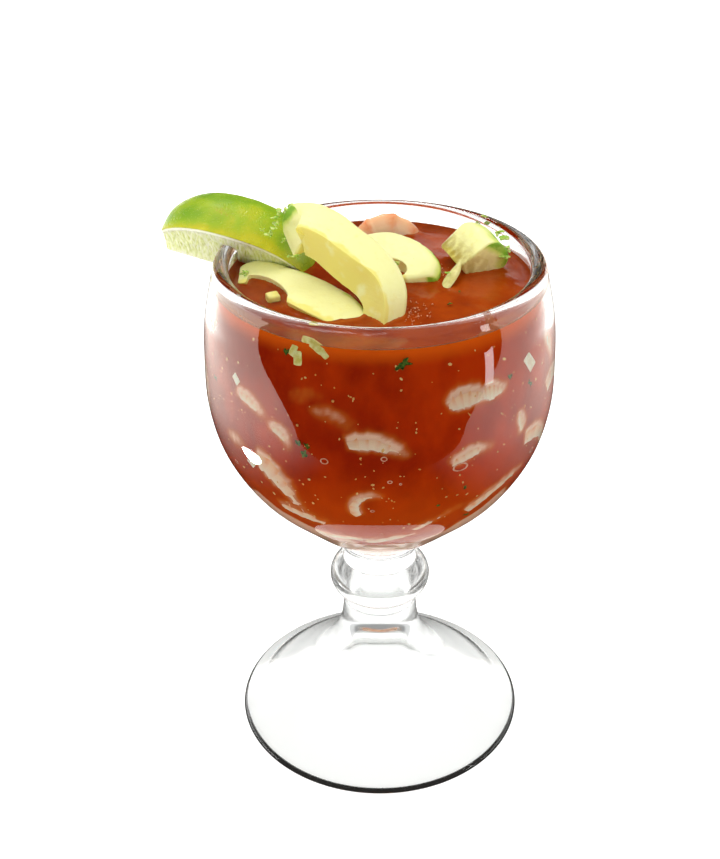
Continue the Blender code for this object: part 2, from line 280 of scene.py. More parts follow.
@dataclass(frozen=True)
class TomatoSauce:
    """Thick tomato sauce: glossy on top, where it is open, and bright where light gets through."""

    deep: str = "#9C2002"
    body: str = "#C63804"
    # painted shade: the open top's copy of the sauce's colours, darker than the side's copy of the
    # same sauce
    shaded_open_deep: str = "#7C2303"
    shaded_open_body: str = "#A23E07"
    low: str = "#C04A05"
    # painted light: the orange of light that comes in at the sauce's top edge, on the band just
    # under its level
    top: str = "#EE6410"
    thin: str = "#D8782A"
    pale: str = "#F4C9AC"
    index: float = 1.36
    open_roughness: float = 0.13
    swirl_mm: float = 11.0
    pulp_mm: float = 1.1
    # below these heights, in millimetres, the colour runs to the low orange, most at the first and
    # under it
    orange_under: tuple[float, float] = (104.0, 136.0)
    air_film: tuple[float, float] = (146.0, 158.0)
    air_film_index: float = 1.31
    mirrors_over: tuple[float, float] = (100.0, 108.0)

    def coat(self, name: str, level: float, brighter: float, deep: str, body: str) -> Coat:
        """The sauce's colour: the thinner it is over a pale piece, the lighter, and lighter again
        in a band of painted light just under its level.

        Args:
            name: the material's name.
            level: the sauce's height, in millimetres, under which painted light makes it brighter
                for a little.
            brighter: how much brighter that painted light makes it.
            deep: its darker patches' colour.
            body: its lighter patches' colour.

        Returns:
            The coat, with no gloss set.
        """
        coat = Coat(name, Subsurface_Weight=0.12, Subsurface_Scale=0.004)
        coat.shader.inputs["Subsurface Radius"].default_value = (1.0, 0.25, 0.08)
        across, _, height = coat.axes()
        # the colour also runs darker towards -X and lighter towards +X, added to the swirl's noise
        swirl = coat.node("ShaderNodeMath", {
            0: coat.grain(self.swirl_mm, 4.0, (1.0, 1.0, 0.6)),
            1: coat.stepped(across, -0.03, 0.03, -0.12, 0.10),
        }).outputs[0]
        pulp = coat.grain(self.pulp_mm, 3.0)
        colour = coat.ramp(swirl, (0.35, deep), (0.68, body))
        colour = coat.mixed(coat.stepped(pulp, 0.52, 0.75, 0.0, 0.22), colour, linear(body))
        # low in the bowl the colour runs to the low orange
        lower = coat.stepped(height, *(h * MM for h in self.orange_under), 0.75, 0.0)
        colour = coat.mixed(lower, colour, linear(self.low))
        # painted light: just under the level the colour runs to the top colour, where light comes
        # in at the top edge
        upper = coat.stepped(height, (level - 4.0) * MM, (level + 1.5) * MM, 0.0, brighter)
        colour = coat.mixed(upper, colour, linear(self.top))
        shows = coat.attribute("shows").outputs["Fac"]
        veiled = coat.ramp(
            shows, (0.0, "#000000"), (0.30, "#3C3C3C"), (0.62, "#B8B8B8"), (0.92, "#FFFFFF")
        )
        lit = coat.ramp(shows, (0.0, body), (0.55, self.thin), (0.95, self.pale))
        coat.coloured(coat.mixed(veiled, colour, lit))
        return coat

    def open_surface(self, level: float) -> Material:
        """The wet top, with the fine grain of its pulp.

        Args:
            level: the sauce's height, in millimetres.

        Returns:
            The material.
        """
        # painted shade: the open top takes the darker copy of the sauce's colours
        coat = self.coat("tomato_sauce_open", level, 0.06, self.shaded_open_deep, self.shaded_open_body)
        coat.shader.inputs["Specular IOR Level"].default_value = 0.4
        coat.shader.inputs["Roughness"].default_value = self.open_roughness
        coat.shader.inputs["IOR"].default_value = self.index
        coat.bumped(coat.grain(1.3, 3.0), 0.12, 0.5)
        coat.bumped(coat.grain(5.0, 2.0), 0.35, 0.5)
        return coat.material

    def under_glass(self, level: float) -> Material:
        """The side: it wets the glass, so it has no gloss but for light that grazes it.

        Args:
            level: the sauce's height, in millimetres.

        Returns:
            The material.
        """
        coat = self.coat("tomato_sauce_under_glass", level, 0.9, self.deep, self.body)
        coat.shader.inputs["Roughness"].default_value = 0.9
        coat.shader.inputs["Specular IOR Level"].default_value = 0.0
        _, _, height = coat.axes()
        # near the rim the sauce leaves a film of air, so light inside the wall runs on past it
        glass = PressedGlass.index
        film = (h * MM for h in self.air_film)
        ratio = coat.stepped(height, *film, self.air_film_index / glass, 1.0 / glass)
        fresnel = coat.node("ShaderNodeFresnel", {"IOR": ratio}).outputs[0]
        bowl = coat.stepped(height, *(h * MM for h in self.mirrors_over))
        grazed = coat.times(coat.stepped(fresnel, 0.06, 0.6), bowl)
        mirror = coat.node("ShaderNodeBsdfGlossy", {"Roughness": 0.02})
        side = coat.node(
            "ShaderNodeMixShader",
            {"Fac": grazed, 1: coat.shader.outputs[0], 2: mirror.outputs[0]},
        )
        output = coat.tree.nodes["Material Output"]
        coat.tree.links.new(side.outputs[0], output.inputs["Surface"])
        return coat.material


@dataclass(frozen=True)
class AvocadoFlesh:
    """Ripe avocado: buttery and pale at the stone, greener towards the skin, cut with a knife."""

    # the flesh's own deeper yellow by the stone, and painted shade on the stone's face, which is
    # turned from the light above
    stone_yellow_and_shade: str = "#F5E97C"
    pale: str = "#FBF8AC"
    rim: str = "#D2E26A"
    green: str = "#84B82C"
    bruise: str = "#A98F3A"

    def material(self) -> Material:
        """Flesh that reads how near the skin it is, and how stained.

        Returns:
            The material.
        """
        coat = Coat("avocado_flesh", Roughness=0.42, Subsurface_Weight=0.25, Subsurface_Scale=0.003)
        coat.shader.inputs["Subsurface Radius"].default_value = (1.0, 0.9, 0.35)
        skin = coat.attribute("skin").outputs["Fac"]
        stain = coat.attribute("stain").outputs["Fac"]
        cloud = coat.grain(4.5, 4.0)
        drift = coat.stepped(cloud, 0.2, 0.8, -0.03, 0.05)
        shifted = coat.node("ShaderNodeMath", {0: skin, 1: drift})
        # the stone's face and the edge of the cut faces take the deeper yellow: partly the flesh's
        # own colour by the stone, partly painted shade on that face
        colour = coat.ramp(
            shifted.outputs[0],
            (0.0, self.stone_yellow_and_shade), (0.05, self.stone_yellow_and_shade), (0.11, self.pale), (0.82, self.pale),
            (0.94, self.rim), (1.0, self.green),
        )
        mottle = coat.stepped(coat.grain(2.2, 4.0), 0.55, 0.75, 0.0, 0.35)
        colour = coat.mixed(mottle, colour, linear(self.stone_yellow_and_shade))
        fleck = coat.times(
            coat.stepped(coat.grain(1.7, 4.0), 0.60, 0.70), coat.stepped(skin, 0.86, 1.0, 0.0, 0.75)
        )
        colour = coat.mixed(fleck, colour, linear("#5E8F22"))
        murky = coat.times(stain, coat.stepped(coat.grain(2.6, 4.0), 0.30, 0.62, 0.35, 1.0))
        coat.coloured(coat.mixed(murky, colour, linear(self.bruise)))
        coat.dulled(coat.stepped(stain, 0.1, 0.6, 0.42, 0.16))
        # soft drag marks of the knife, and the fine grain of the flesh
        coat.bumped(coat.grain(2.4, 5.0, (1.0, 1.0, 2.2)), 0.30, 0.6)
        coat.bumped(coat.grain(0.6, 2.0), 0.05, 0.5)
        return coat.material


@dataclass(frozen=True)
class LimeRind:
    """Waxy lime rind with oil pores, over a band of white pith."""

    green: str = "#7CAA0C"
    bright: str = "#A2BE0A"
    yellow: str = "#C8C410"
    rust: str = "#B9A030"
    pith: str = "#F4F6DC"
    pore_mm: float = 0.75

    def material(self) -> Material:
        """Rind outside and pith inside, told apart by the attribute "depth".

        Returns:
            The material.
        """
        coat = Coat("lime_rind", Roughness=0.36, Subsurface_Weight=0.08, Subsurface_Scale=0.002)
        coat.shader.inputs["Subsurface Radius"].default_value = (0.6, 1.0, 0.3)
        depth = coat.attribute("depth").outputs["Fac"]
        ripe = coat.attribute("ripe").outputs["Fac"]
        cloud = coat.stepped(coat.grain(7.0, 4.0), 0.3, 0.7, -0.22, 0.22)
        ripe = coat.node("ShaderNodeMath", {0: ripe, 1: cloud}).outputs[0]
        colour = coat.ramp(
            ripe, (0.0, self.green), (0.45, self.bright), (0.85, self.yellow), (1.0, "#D5D027")
        )
        pores = coat.node(
            "ShaderNodeTexVoronoi",
            {"Vector": coat.place, "Scale": per_size(self.pore_mm)},
            feature="SMOOTH_F1",
        ).outputs["Distance"]
        specks = coat.stepped(pores, 0.05, 0.32, 0.55, 0.0)
        colour = coat.mixed(specks, colour, linear("#C2D03A"))
        scabbed = coat.stepped(pores, 0.1, 0.4, 1.0, 0.2)
        rust = coat.times(coat.attribute("rust").outputs["Fac"], scabbed)
        colour = coat.mixed(rust, colour, linear(self.rust))
        coat.coloured(coat.mixed(coat.stepped(depth, 0.10, 0.42), colour, linear(self.pith)))
        coat.bumped(coat.stepped(pores, 0.0, 0.45), 0.16, 0.75)
        coat.bumped(coat.grain(5.0, 2.0), 0.5, 0.35)
        return coat.material


@dataclass(frozen=True)
class LimePulp:
    """Lime pulp: pale juicy vesicles that point to the core, between white membranes."""

    juice: str = "#E2E8A6"
    deep: str = "#C9CF78"
    skin: str = "#F6F7E0"

    def material(self) -> Material:
        """Pulp drawn in its own directions: along the core, out to the rind, and across.

        Returns:
            The material.
        """
        coat = Coat("lime_pulp", Roughness=0.22, Subsurface_Weight=0.3, Subsurface_Scale=0.004)
        coat.shader.inputs["Subsurface Radius"].default_value = (0.9, 1.0, 0.5)
        grain = coat.attribute("grain").outputs["Vector"]
        scale = {"Vector": grain, "Scale": (0.52, 0.11, 0.3)}
        sacs = coat.node("ShaderNodeMapping", scale).outputs[0]
        cells = coat.node(
            "ShaderNodeTexVoronoi", {"Vector": sacs, "Scale": 1.0}, feature="DISTANCE_TO_EDGE"
        ).outputs["Distance"]
        threads = coat.node("ShaderNodeTexNoise", {"Vector": sacs, "Scale": 2.6, "Detail": 4.0})
        colour = coat.ramp(
            threads.outputs[0], (0.32, self.deep), (0.52, self.juice), (0.72, self.skin)
        )
        colour = coat.mixed(coat.stepped(cells, 0.0, 0.09, 0.45, 0.0), colour, linear(self.skin))
        border = coat.attribute("membrane").outputs["Fac"]
        coat.coloured(coat.mixed(border, colour, linear(self.skin)))
        coat.bumped(coat.stepped(cells, 0.0, 0.3), 0.3, 0.5)
        return coat.material


@dataclass(frozen=True)
class CookedPrawn:
    """Cooked, peeled prawn: wet, pale flesh with orange-pink bands over its back."""

    flesh: str = "#FBE6CC"
    blush: str = "#F8BE8E"
    band: str = "#EC8A52"

    def material(self, name: str, gloss: bool) -> Material:
        """Prawn flesh.

        Args:
            name: the material's name.
            gloss: whether it lies in the open; what touches glass has no gloss of its own.

        Returns:
            The material.
        """
        dull = 0.22 if gloss else 0.8
        coat = Coat(name, Roughness=dull, Subsurface_Weight=0.3, Subsurface_Scale=0.004)
        coat.shader.inputs["Subsurface Radius"].default_value = (1.0, 0.45, 0.3)
        coat.shader.inputs["Specular IOR Level"].default_value = 0.5 if gloss else 0.0
        back = coat.attribute("back").outputs["Fac"]
        ring = coat.attribute("ring").outputs["Fac"]
        colour = coat.ramp(back, (0.25, self.flesh), (0.95, self.blush))
        shows = coat.times(coat.stepped(back, 0.35, 0.95, 0.15, 0.9), ring)
        shows = coat.times(shows, coat.stepped(coat.grain(1.6, 3.0), 0.3, 0.6, 0.5, 1.0))
        coat.coloured(coat.mixed(shows, colour, linear(self.band)))
        coat.bumped(coat.grain(0.9, 3.0), 0.12, 0.5)
        return coat.material


@dataclass(frozen=True)
class PlainFood:
    """A small piece of one food, with its own cloudy colour, gloss and grain."""

    name: str
    light: str
    dark: str
    patch_mm: float
    roughness: float
    specular: float = 0.5
    alpha: float = 1.0
    scatter: float = 0.2

    def material(self) -> Material:
        """The piece's material.

        Returns:
            The material.
        """
        coat = Coat(
            self.name,
            Roughness=self.roughness,
            Specular_IOR_Level=self.specular,
            Alpha=self.alpha,
            Subsurface_Weight=self.scatter,
            Subsurface_Scale=0.002,
        )
        coat.coloured(coat.ramp(coat.grain(self.patch_mm), (0.35, self.dark), (0.65, self.light)))
        coat.bumped(coat.grain(self.patch_mm * 0.4, 3.0), 0.08, 0.5)
        return coat.material


# --- Modelling by hand: primitives, edit mode, modifiers ------


def deselect() -> None:
    """Leaves nothing selected, so that an operator acts on what comes next alone."""
    if bpy.context.object and bpy.context.object.mode != "OBJECT":
        bpy.ops.object.mode_set(mode="OBJECT")
    bpy.ops.object.select_all(action="DESELECT")


def chosen(piece: Piece) -> None:
    """Selects one piece alone and makes it the active one.

    Args:
        piece: the piece.
    """
    deselect()
    piece.select_set(True)
    bpy.context.view_layer.objects.active = piece


def taken(name: str) -> Piece:
    """Names the primitive that was just added.

    Args:
        name: its new name.

    Returns:
        The primitive.
    """
    piece = bpy.context.object
    piece.name = name
    piece.data.name = name
    return piece


@contextmanager
def editing(piece: Piece, everything: bool = True) -> Iterator[bmesh.types.BMesh]:
    """Edit mode on one piece.

    Args:
        piece: the piece.
        everything: whether all of it is selected on the way in.

    Yields:
        Its edit mesh, in which code selects what the next operator works on.
    """
    chosen(piece)
    bpy.ops.object.mode_set(mode="EDIT")
    bpy.ops.mesh.select_mode(type="VERT")
    bpy.ops.mesh.select_all(action="SELECT" if everything else "DESELECT")
    yield bmesh.from_edit_mesh(piece.data)
    bpy.ops.object.mode_set(mode="OBJECT")


def applied(piece: Piece, kind: str, **settings: object) -> None:
    """Adds a modifier and applies it.

    Args:
        piece: the piece.
        kind: the modifier's type.
        **settings: its values.
    """
    chosen(piece)
    modifier = piece.modifiers.new(kind.title(), kind)
    for key, value in settings.items():
        setattr(modifier, key, value)
    bpy.ops.object.modifier_apply(modifier=modifier.name)


def joined(name: str, pieces: Sequence[Piece]) -> Piece:
    """Makes one piece of many.

    Args:
        name: the new piece's name.
        pieces: what it is made of.

    Returns:
        The piece.
    """
    deselect()
    for piece in pieces:
        piece.select_set(True)
    bpy.context.view_layer.objects.active = pieces[0]
    if len(pieces) > 1:
        bpy.ops.object.join()
    pieces[0].name = name
    pieces[0].data.name = name
    return pieces[0]


def moved(piece: Piece, change: Callable[[Vector], Vector]) -> None:
    """Moves every point of a piece by a rule."""
    for vert in piece.data.vertices:
        vert.co = change(vert.co.copy())
    piece.data.update()


def rated(piece: Piece, name: str, values: Iterable[float]) -> None:
    """Writes a number for every point, for the piece's material to read."""
    layer = piece.data.attributes.new(name, "FLOAT", "POINT")
    layer.data.foreach_set("value", list(values))


def smoothed(piece: Piece, angle: float = 40.0) -> None:
    """Smooth shading, with edges sharper than an angle in degrees kept crisp."""
    chosen(piece)
    bpy.ops.object.shade_smooth_by_angle(angle=math.radians(angle))


def outwards(piece: Piece, merge: float = 1e-4) -> None:
    """Merges doubled points and turns every face outwards."""
    with editing(piece):
        bpy.ops.mesh.remove_doubles(threshold=merge)
        bpy.ops.mesh.select_all(action="SELECT")
        bpy.ops.mesh.normals_make_consistent(inside=False)


def gridded(
    name: str, rings: Sequence[Ring], round_again: bool = False
) -> tuple[Piece, list[tuple[int, int]]]:
    """Lays a grid's points on rings, one row of it to a ring.

    Args:
        name: the piece's name.
        rings: rows of equally many points.
        round_again: whether the last row comes back to the first ring.

    Returns:
        The open tube, with doubled points at its seams, and each point's row and column.
    """
    around, along = len(rings[0]), len(rings) - (not round_again)
    deselect()
    bpy.ops.mesh.primitive_grid_add(x_subdivisions=around, y_subdivisions=along, size=2.0)
    piece = taken(name)
    places = []
    for vert in piece.data.vertices:
        column = round((vert.co.x + 1.0) / 2.0 * around) % around
        row = round((vert.co.y + 1.0) / 2.0 * along) % len(rings)
        places.append((row, column))
        vert.co = rings[row][column]
    return piece, places


def rolled(
    name: str, rings: Sequence[Ring], marks: dict[str, Callable[[int, int], float]] | None = None
) -> Piece:
    """A closed body from a grid that is rolled into a tube through rings, with its ends filled.

    Args:
        name: the piece's name.
        rings: rows of equally many points.
        marks: attribute name to a rule that rates a point by its row and its place in the row.

    Returns:
        The body, in millimetres.
    """
    piece, places = gridded(name, rings)
    for mark, rule in (marks or {}).items():
        rated(piece, mark, [rule(row, column) for row, column in places])
    with editing(piece):
        bpy.ops.mesh.remove_doubles(threshold=1e-4)
        bpy.ops.mesh.select_all(action="SELECT")
        bpy.ops.mesh.fill_holes(sides=0)
        bpy.ops.mesh.select_all(action="SELECT")
        bpy.ops.mesh.normals_make_consistent(inside=False)
    return piece


def spun(name: str, profile: Sequence[Vector], steps: int) -> Piece:
    """A round body: a profile is drawn point by point from the axis to the axis and spun.

    Args:
        name: the piece's name.
        profile: (radius, height) points.
        steps: how many facets go round.

    Returns:
        The closed body.
    """
    deselect()
    bpy.ops.mesh.primitive_plane_add(size=1.0)
    piece = taken(name)
    with editing(piece):
        bpy.ops.mesh.merge(type="CENTER")
        bpy.ops.mesh.select_all(action="SELECT")
        bpy.ops.transform.translate(value=(profile[0].x, 0.0, profile[0].y))
        for here, there in zip(profile, profile[1:]):
            step = (there.x - here.x, 0.0, there.y - here.y)
            bpy.ops.mesh.extrude_vertices_move(TRANSFORM_OT_translate={"value": step})
        bpy.ops.mesh.select_all(action="SELECT")
        bpy.ops.mesh.spin(
            steps=steps, angle=math.tau, center=(0.0, 0.0, 0.0), axis=(0.0, 0.0, 1.0)
        )
    outwards(piece, 1e-3)
    return piece


def smooth_curve(points: Sequence[Sequence[float]], steps: int) -> list[Vector]:
    """A smooth curve through all of points.

    Args:
        points: points in two or three dimensions.
        steps: how many points each span gets.

    Returns:
        The curve's points, the last of points included.
    """
    knots = [Vector(p) for p in points]
    knots = [2 * knots[0] - knots[1]] + knots + [2 * knots[-1] - knots[-2]]
    curve = []
    for before, start, end, after in zip(knots, knots[1:], knots[2:], knots[3:]):
        span = (end - start).length
        leave = (end - before) * span / ((end - start).length + (start - before).length)
        arrive = (after - start) * span / ((after - end).length + (end - start).length)
        for step in range(steps):
            t = step / steps
            curve.append(
                start * (2 * t**3 - 3 * t**2 + 1)
                + leave * (t**3 - 2 * t**2 + t)
                + end * (3 * t**2 - 2 * t**3)
                + arrive * (t**3 - t**2)
            )
    return curve + [knots[-2]]


def wobble(point: Vector, size: float, seed: float = 0.0) -> float:
    """Smooth noise from -1 to 1 with patches of a size."""
    return noise.noise(point / size + Vector((seed, 2.3 * seed, -seed)))


def arc(
    centre: Sequence[float], radii: Sequence[float], start: float, end: float, steps: int
) -> list[Vector]:
    """Points (radius, height) on an elliptic arc between two angles in degrees."""
    angles = [math.radians(start + (end - start) * k / steps) for k in range(steps + 1)]
    return [
        Vector((centre[0] + radii[0] * math.cos(a), centre[1] + radii[1] * math.sin(a)))
        for a in angles
    ]


class Bench:
    """Where finished pieces are laid in the frame, given their coat, and put on the one body."""

    def __init__(self) -> None:
        """Finds the goblet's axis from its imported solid."""
        low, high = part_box("goblet")
        self.axis = Vector(((low.x + high.x) / 2, (low.y + high.y) / 2, 0.0))
        self.count = 0

    def laid(
        self,
        piece: Piece,
        slot: str,
        *coats: Material,
        stands_for: str | None = None,
    ) -> Piece:
        """Finishes a piece: metres, the frame's place, its material and its body.

        Args:
            piece: the piece, modelled in millimetres from the goblet's axis.
            slot: the record's material slot; not used.
            *coats: its materials, in the order of its faces' numbers.
            stands_for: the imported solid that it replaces.

        Returns:
            The piece.
        """
        piece.data.transform(piece.matrix_world)
        piece.matrix_world = Matrix.Identity(4)
        piece.data.transform(Matrix.Translation(self.axis) @ Matrix.Scale(MM, 4))
        piece.data.update()
        numbers = [face.material_index if len(coats) > 1 else 0 for face in piece.data.polygons]
        piece.data.materials.clear()
        for coat in coats:
            piece.data.materials.append(coat)
        piece.data.polygons.foreach_set("material_index", numbers)
        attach(piece, "root")
        if stands_for:
            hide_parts(stands_for)
        piece.data.calc_loop_triangles()
        self.count += len(piece.data.loop_triangles)
        LOG.info("%s: %d triangles", piece.name, len(piece.data.loop_triangles))
        return piece


# --- The goblet -----------------------------------------------


@lru_cache
def inner_wall(places: Places) -> list[tuple[float, float]]:
    """The bowl's inner wall as (height, radius), upwards."""
    return [(p.y, p.x) for p in smooth_curve(places, 16)]


@dataclass(frozen=True)
class Goblet:
    """A heavy footed goblet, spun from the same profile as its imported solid."""

    rim_top: float = 172.0
    bead_radius: float = 2.6
    rim_middle: float = 47.5
    bowl_outside: Places = (
        (50.1, 169.4), (53.0, 155.4), (53.95, 141.3), (53.65, 127.2), (50.1, 113.0),
        (41.9, 98.9), (30.2, 86.9), (21.0, 78.4), (15.6, 74.2), (12.6, 71.2), (12.1, 66.0),
    )
    bowl_inside: Places = (
        (0.0, 88.5), (13.0, 89.6), (26.0, 94.0), (37.5, 102.5), (46.4, 114.0),
        (50.0, 128.0), (50.3, 142.0), (49.0, 156.0), (44.9, 169.4),
    )
    knop_radius: float = 16.8
    knop_half_height: float = 10.4
    knop_height: float = 56.6
    neck_radius: float = 12.1
    foot_outside: Places = (
        (12.3, 46.0), (13.2, 38.0), (15.8, 30.5), (21.0, 23.5), (29.0, 16.5),
        (38.0, 9.5), (45.0, 4.8), (48.2, 2.6), (48.7, 1.6), (48.0, 0.5),
    )
    foot_ring: tuple[float, float] = (46.6, 43.4)
    foot_hollow: Places = (
        (43.4, 0.0), (37.0, 4.5), (29.0, 9.8), (21.0, 15.0), (14.5, 21.0),
        (10.0, 27.5), (6.8, 33.3), (4.0, 35.8), (0.0, 36.2),
    )
    steps: int = 160
    fineness: int = 8

    def profile(self) -> list[Vector]:
        """Up the bowl's inside, over the rim's bead, down the outside, and up under the foot.

        Returns:
            Its points, in the plane that is spun.
        """
        inside = smooth_curve(self.bowl_inside, self.fineness)[:-1]
        middle = (self.rim_middle, self.rim_top - self.bead_radius)
        bead = arc(middle, (self.bead_radius, self.bead_radius), 180, 0, 24)[:-1]
        outside = smooth_curve(self.bowl_outside, self.fineness)[:-1]
        crease = math.degrees(math.acos(self.neck_radius / self.knop_radius))
        knop_size = (self.knop_radius, self.knop_half_height)
        knop = arc((0.0, self.knop_height), knop_size, crease, -crease, 32)
        foot = smooth_curve(self.foot_outside, self.fineness)
        ring = [Vector((radius, 0.0)) for radius in self.foot_ring]
        hollow = smooth_curve(self.foot_hollow, self.fineness)[1:]
        return inside + bead + outside + knop + foot + ring + hollow

    def inside_radius(self, height: float) -> float:
        """The bowl's inner radius at a height.

        Args:
            height: the height.

        Returns:
            The radius.
        """
        wall = inner_wall(self.bowl_inside)
        above = bisect.bisect_left(wall, (height, 0.0))
        if above in (0, len(wall)):
            return wall[min(above, len(wall) - 1)][1]
        (low, start), (high, end) = wall[above - 1], wall[above]
        return start + (end - start) * (height - low) / (high - low)

    def wall_frame(self, angle: float, height: float, inwards: float = 0.0) -> Matrix:
        """A frame on the bowl's inner wall.

        Args:
            angle: degrees round the bowl from the front towards +X.
            height: its height.
            inwards: how far its origin lies inside the wall's surface.

        Returns:
            X along the wall to the right seen from outside, Y into the bowl, Z up the wall.
        """
        turn = math.radians(angle)
        radius = self.inside_radius(height)
        slope = (self.inside_radius(height + 1.5) - self.inside_radius(height - 1.5)) / 3.0
        out = Vector((math.sin(turn), -math.cos(turn), 0.0))
        up = (out * slope + Vector((0.0, 0.0, 1.0))).normalized()
        right = Vector((math.cos(turn), math.sin(turn), 0.0))
        inner = up.cross(right).normalized()
        origin = out * radius + Vector((0.0, 0.0, height)) + inner * inwards
        columns = Matrix((right, inner, up)).transposed().to_4x4()
        return Matrix.Translation(origin) @ columns

    def pressed(self, piece: Piece, proud: float = 0.37) -> Piece:
        """Flattens a piece where it would go deeper into the glass than it may.

        Args:
            piece: a piece that lies on the bowl's inner wall, not yet laid.
            proud: how far its flattened face lies in the glass, past the sauce's own face.

        Returns:
            The piece.
        """
        def kept_in(point: Vector) -> Vector:
            """Draws a point back to the deepest place that it may have.

            Args:
                point: a point of the piece.

            Returns:
                Its new place.
            """
            radius = math.hypot(point.x, point.y)
            limit = self.inside_radius(point.z) + proud
            if radius > limit > proud:
                point.x *= limit / radius
                point.y *= limit / radius
            return point

        moved(piece, kept_in)
        return piece

    def build(self, bench: Bench, glass: Material) -> Piece:
        """Spins the goblet.

        Args:
            bench: where it is laid.
            glass: its material.

        Returns:
            The piece.
        """
        piece = spun("goblet_glass", self.profile(), self.steps)
        smoothed(piece, 60.0)
        return bench.laid(piece, "glass", glass, stands_for="goblet")


# --- Lime wedge -----------------------------------------------


@dataclass(frozen=True)
class LimeWedge:
    """A wedge of lime on the rim: a rind with its pith, and pulp, both cut by the same slit."""

    half_length: float = 27.0
    radius: float = 23.5
    fullness: float = 2.4
    half_angle: float = 25.0
    outer_trim: float = 22.2
    inner_trim: float = 26.2
    core: tuple[float, float, float] = (-45.9, 19.1, 159.7)
    yaw: float = -12.3
    tilt: float = 12.2
    lean: float = 15.0
    rind_depth: float = 1.9
    slit_room: float = 0.3
    stations: int = 72
    across: int = 26
    deep: int = 22
    cut_gap: float = 9.0

    def outline(self, x: float) -> float:
        """The fruit's radius at a place along its core."""
        return self.radius * math.sqrt(max(0.0, 1 - (abs(x) / self.half_length) ** self.fullness))

    def pose(self) -> Matrix:
        """Where the core lies and how the wedge hangs.

        Returns:
            The matrix that hangs it on the rim.
        """
        turn = Matrix.Rotation(math.radians(self.yaw), 4, "Z")
        turn = turn @ Matrix.Rotation(math.radians(self.tilt), 4, "Y")
        lean = Matrix.Rotation(math.radians(self.lean), 4, "X")
        return Matrix.Translation(self.core) @ turn @ lean

    def along(self, row: int) -> float:
        """A station's place along the core."""
        return -self.outer_trim + (self.outer_trim + self.inner_trim) * row / (self.stations - 1)

    def point(self, x: float, radius: float, angle: float) -> Vector:
        """A point of the wedge by its place along the core, its radius and its angle."""
        return Vector((x, radius * math.sin(angle), radius * math.cos(angle)))

    def rind(self) -> Piece:
        """The curved shell of rind and pith.

        Returns:
            The piece, not yet laid.
        """
        half = math.radians(self.half_angle)
        angles = [half * (2 * k / (self.across - 1) - 1) for k in range(self.across)]
        rings = []
        for row in range(self.stations):
            x = self.along(row)
            outer = self.outline(x)
            ring = []
            for angle in angles:
                dent = 0.12 * wobble(Vector((x, 9.0 * angle, 0.0)), 4.0)
                ring.append(self.point(x, outer + dent, angle))
            for angle in reversed(angles):
                uneven = 0.25 * wobble(Vector((x, 20.0 * angle, 3.0)), 2.5)
                ring.append(self.point(x, max(0.5, outer - self.rind_depth + uneven), angle))
            rings.append(ring)

        def depth(row: int, column: int) -> float:
            """0 on the skin, and 1 on the side of the pith."""
            return 0.0 if column < self.across else 1.0

        def across_it(row: int, column: int) -> tuple[float, float]:
            """A point's place along and across the rind, each from -1 to 1."""
            share = row / (self.stations - 1) * 2 - 1
            return share, (column % self.across) / (self.across - 1) * 2 - 1

        def ripe(row: int, column: int) -> float:
            """How yellow it is: most in the middle and along one edge.

            Args:
                row: its station along the piece.
                column: its place in the ring.

            Returns:
                A share from 0 to 1.
            """
            share, side = across_it(row, column)
            spot = math.exp(-(((share - 0.05) / 0.42) ** 2 + ((side + 0.15) / 0.6) ** 2))
            edge = math.exp(-((1 + side) / 0.35) ** 2) * 0.6
            return min(1.0, 0.18 + 0.55 * spot + edge)

        def rust(row: int, column: int) -> float:
            """A brown scab beside the middle."""
            share, side = across_it(row, column)
            return 0.8 * math.exp(-(((share + 0.28) / 0.13) ** 2 + ((side + 0.2) / 0.22) ** 2))

        return rolled("lime_rind", rings, {"depth": depth, "ripe": ripe, "rust": rust})

    def pulp(self) -> Piece:
        """The flesh, with relief of its vesicles on both cut faces.

        Returns:
            The piece, not yet laid.
        """
        half = math.radians(self.half_angle)
        shares = [k / self.deep for k in range(self.deep + 1)]
        rings, edges = [], []
        for row in range(self.stations):
            x = self.along(row)
            outer = max(0.6, self.outline(x) - self.rind_depth + 0.15)
            ring, edge = [], []
            for side in (-1, 1):
                for share in shares if side < 0 else reversed(shares):
                    radius = 0.5 + (outer - 0.5) * share
                    sac = Vector((x * 0.62, radius * 0.16, 5.0 * side))
                    relief = 0.22 * noise.noise(sac) + 0.08 * noise.noise(sac * 2.7)
                    dip = 0.35 * math.sin(math.pi * share) ** 0.6
                    angle = side * half + (relief - dip) * side / max(radius, 4.0)
                    ring.append(self.point(x, radius, angle))
                    near_pith = math.exp(-(outer - radius) / 0.9)
                    near_core = math.exp(-radius / 1.4)
                    edge.append(min(1.0, 0.9 * near_pith + near_core))
            rings.append(ring)
            edges.append(edge)
        piece = rolled("lime_pulp", rings, {"membrane": lambda r, c: edges[r][c]})
        layer = piece.data.attributes.new("grain", "FLOAT_VECTOR", "POINT")
        for vert, item in zip(piece.data.vertices, layer.data):
            radius = math.hypot(vert.co.y, vert.co.z)
            item.vector = (vert.co.x, radius, math.copysign(self.cut_gap, vert.co.y))
        return piece

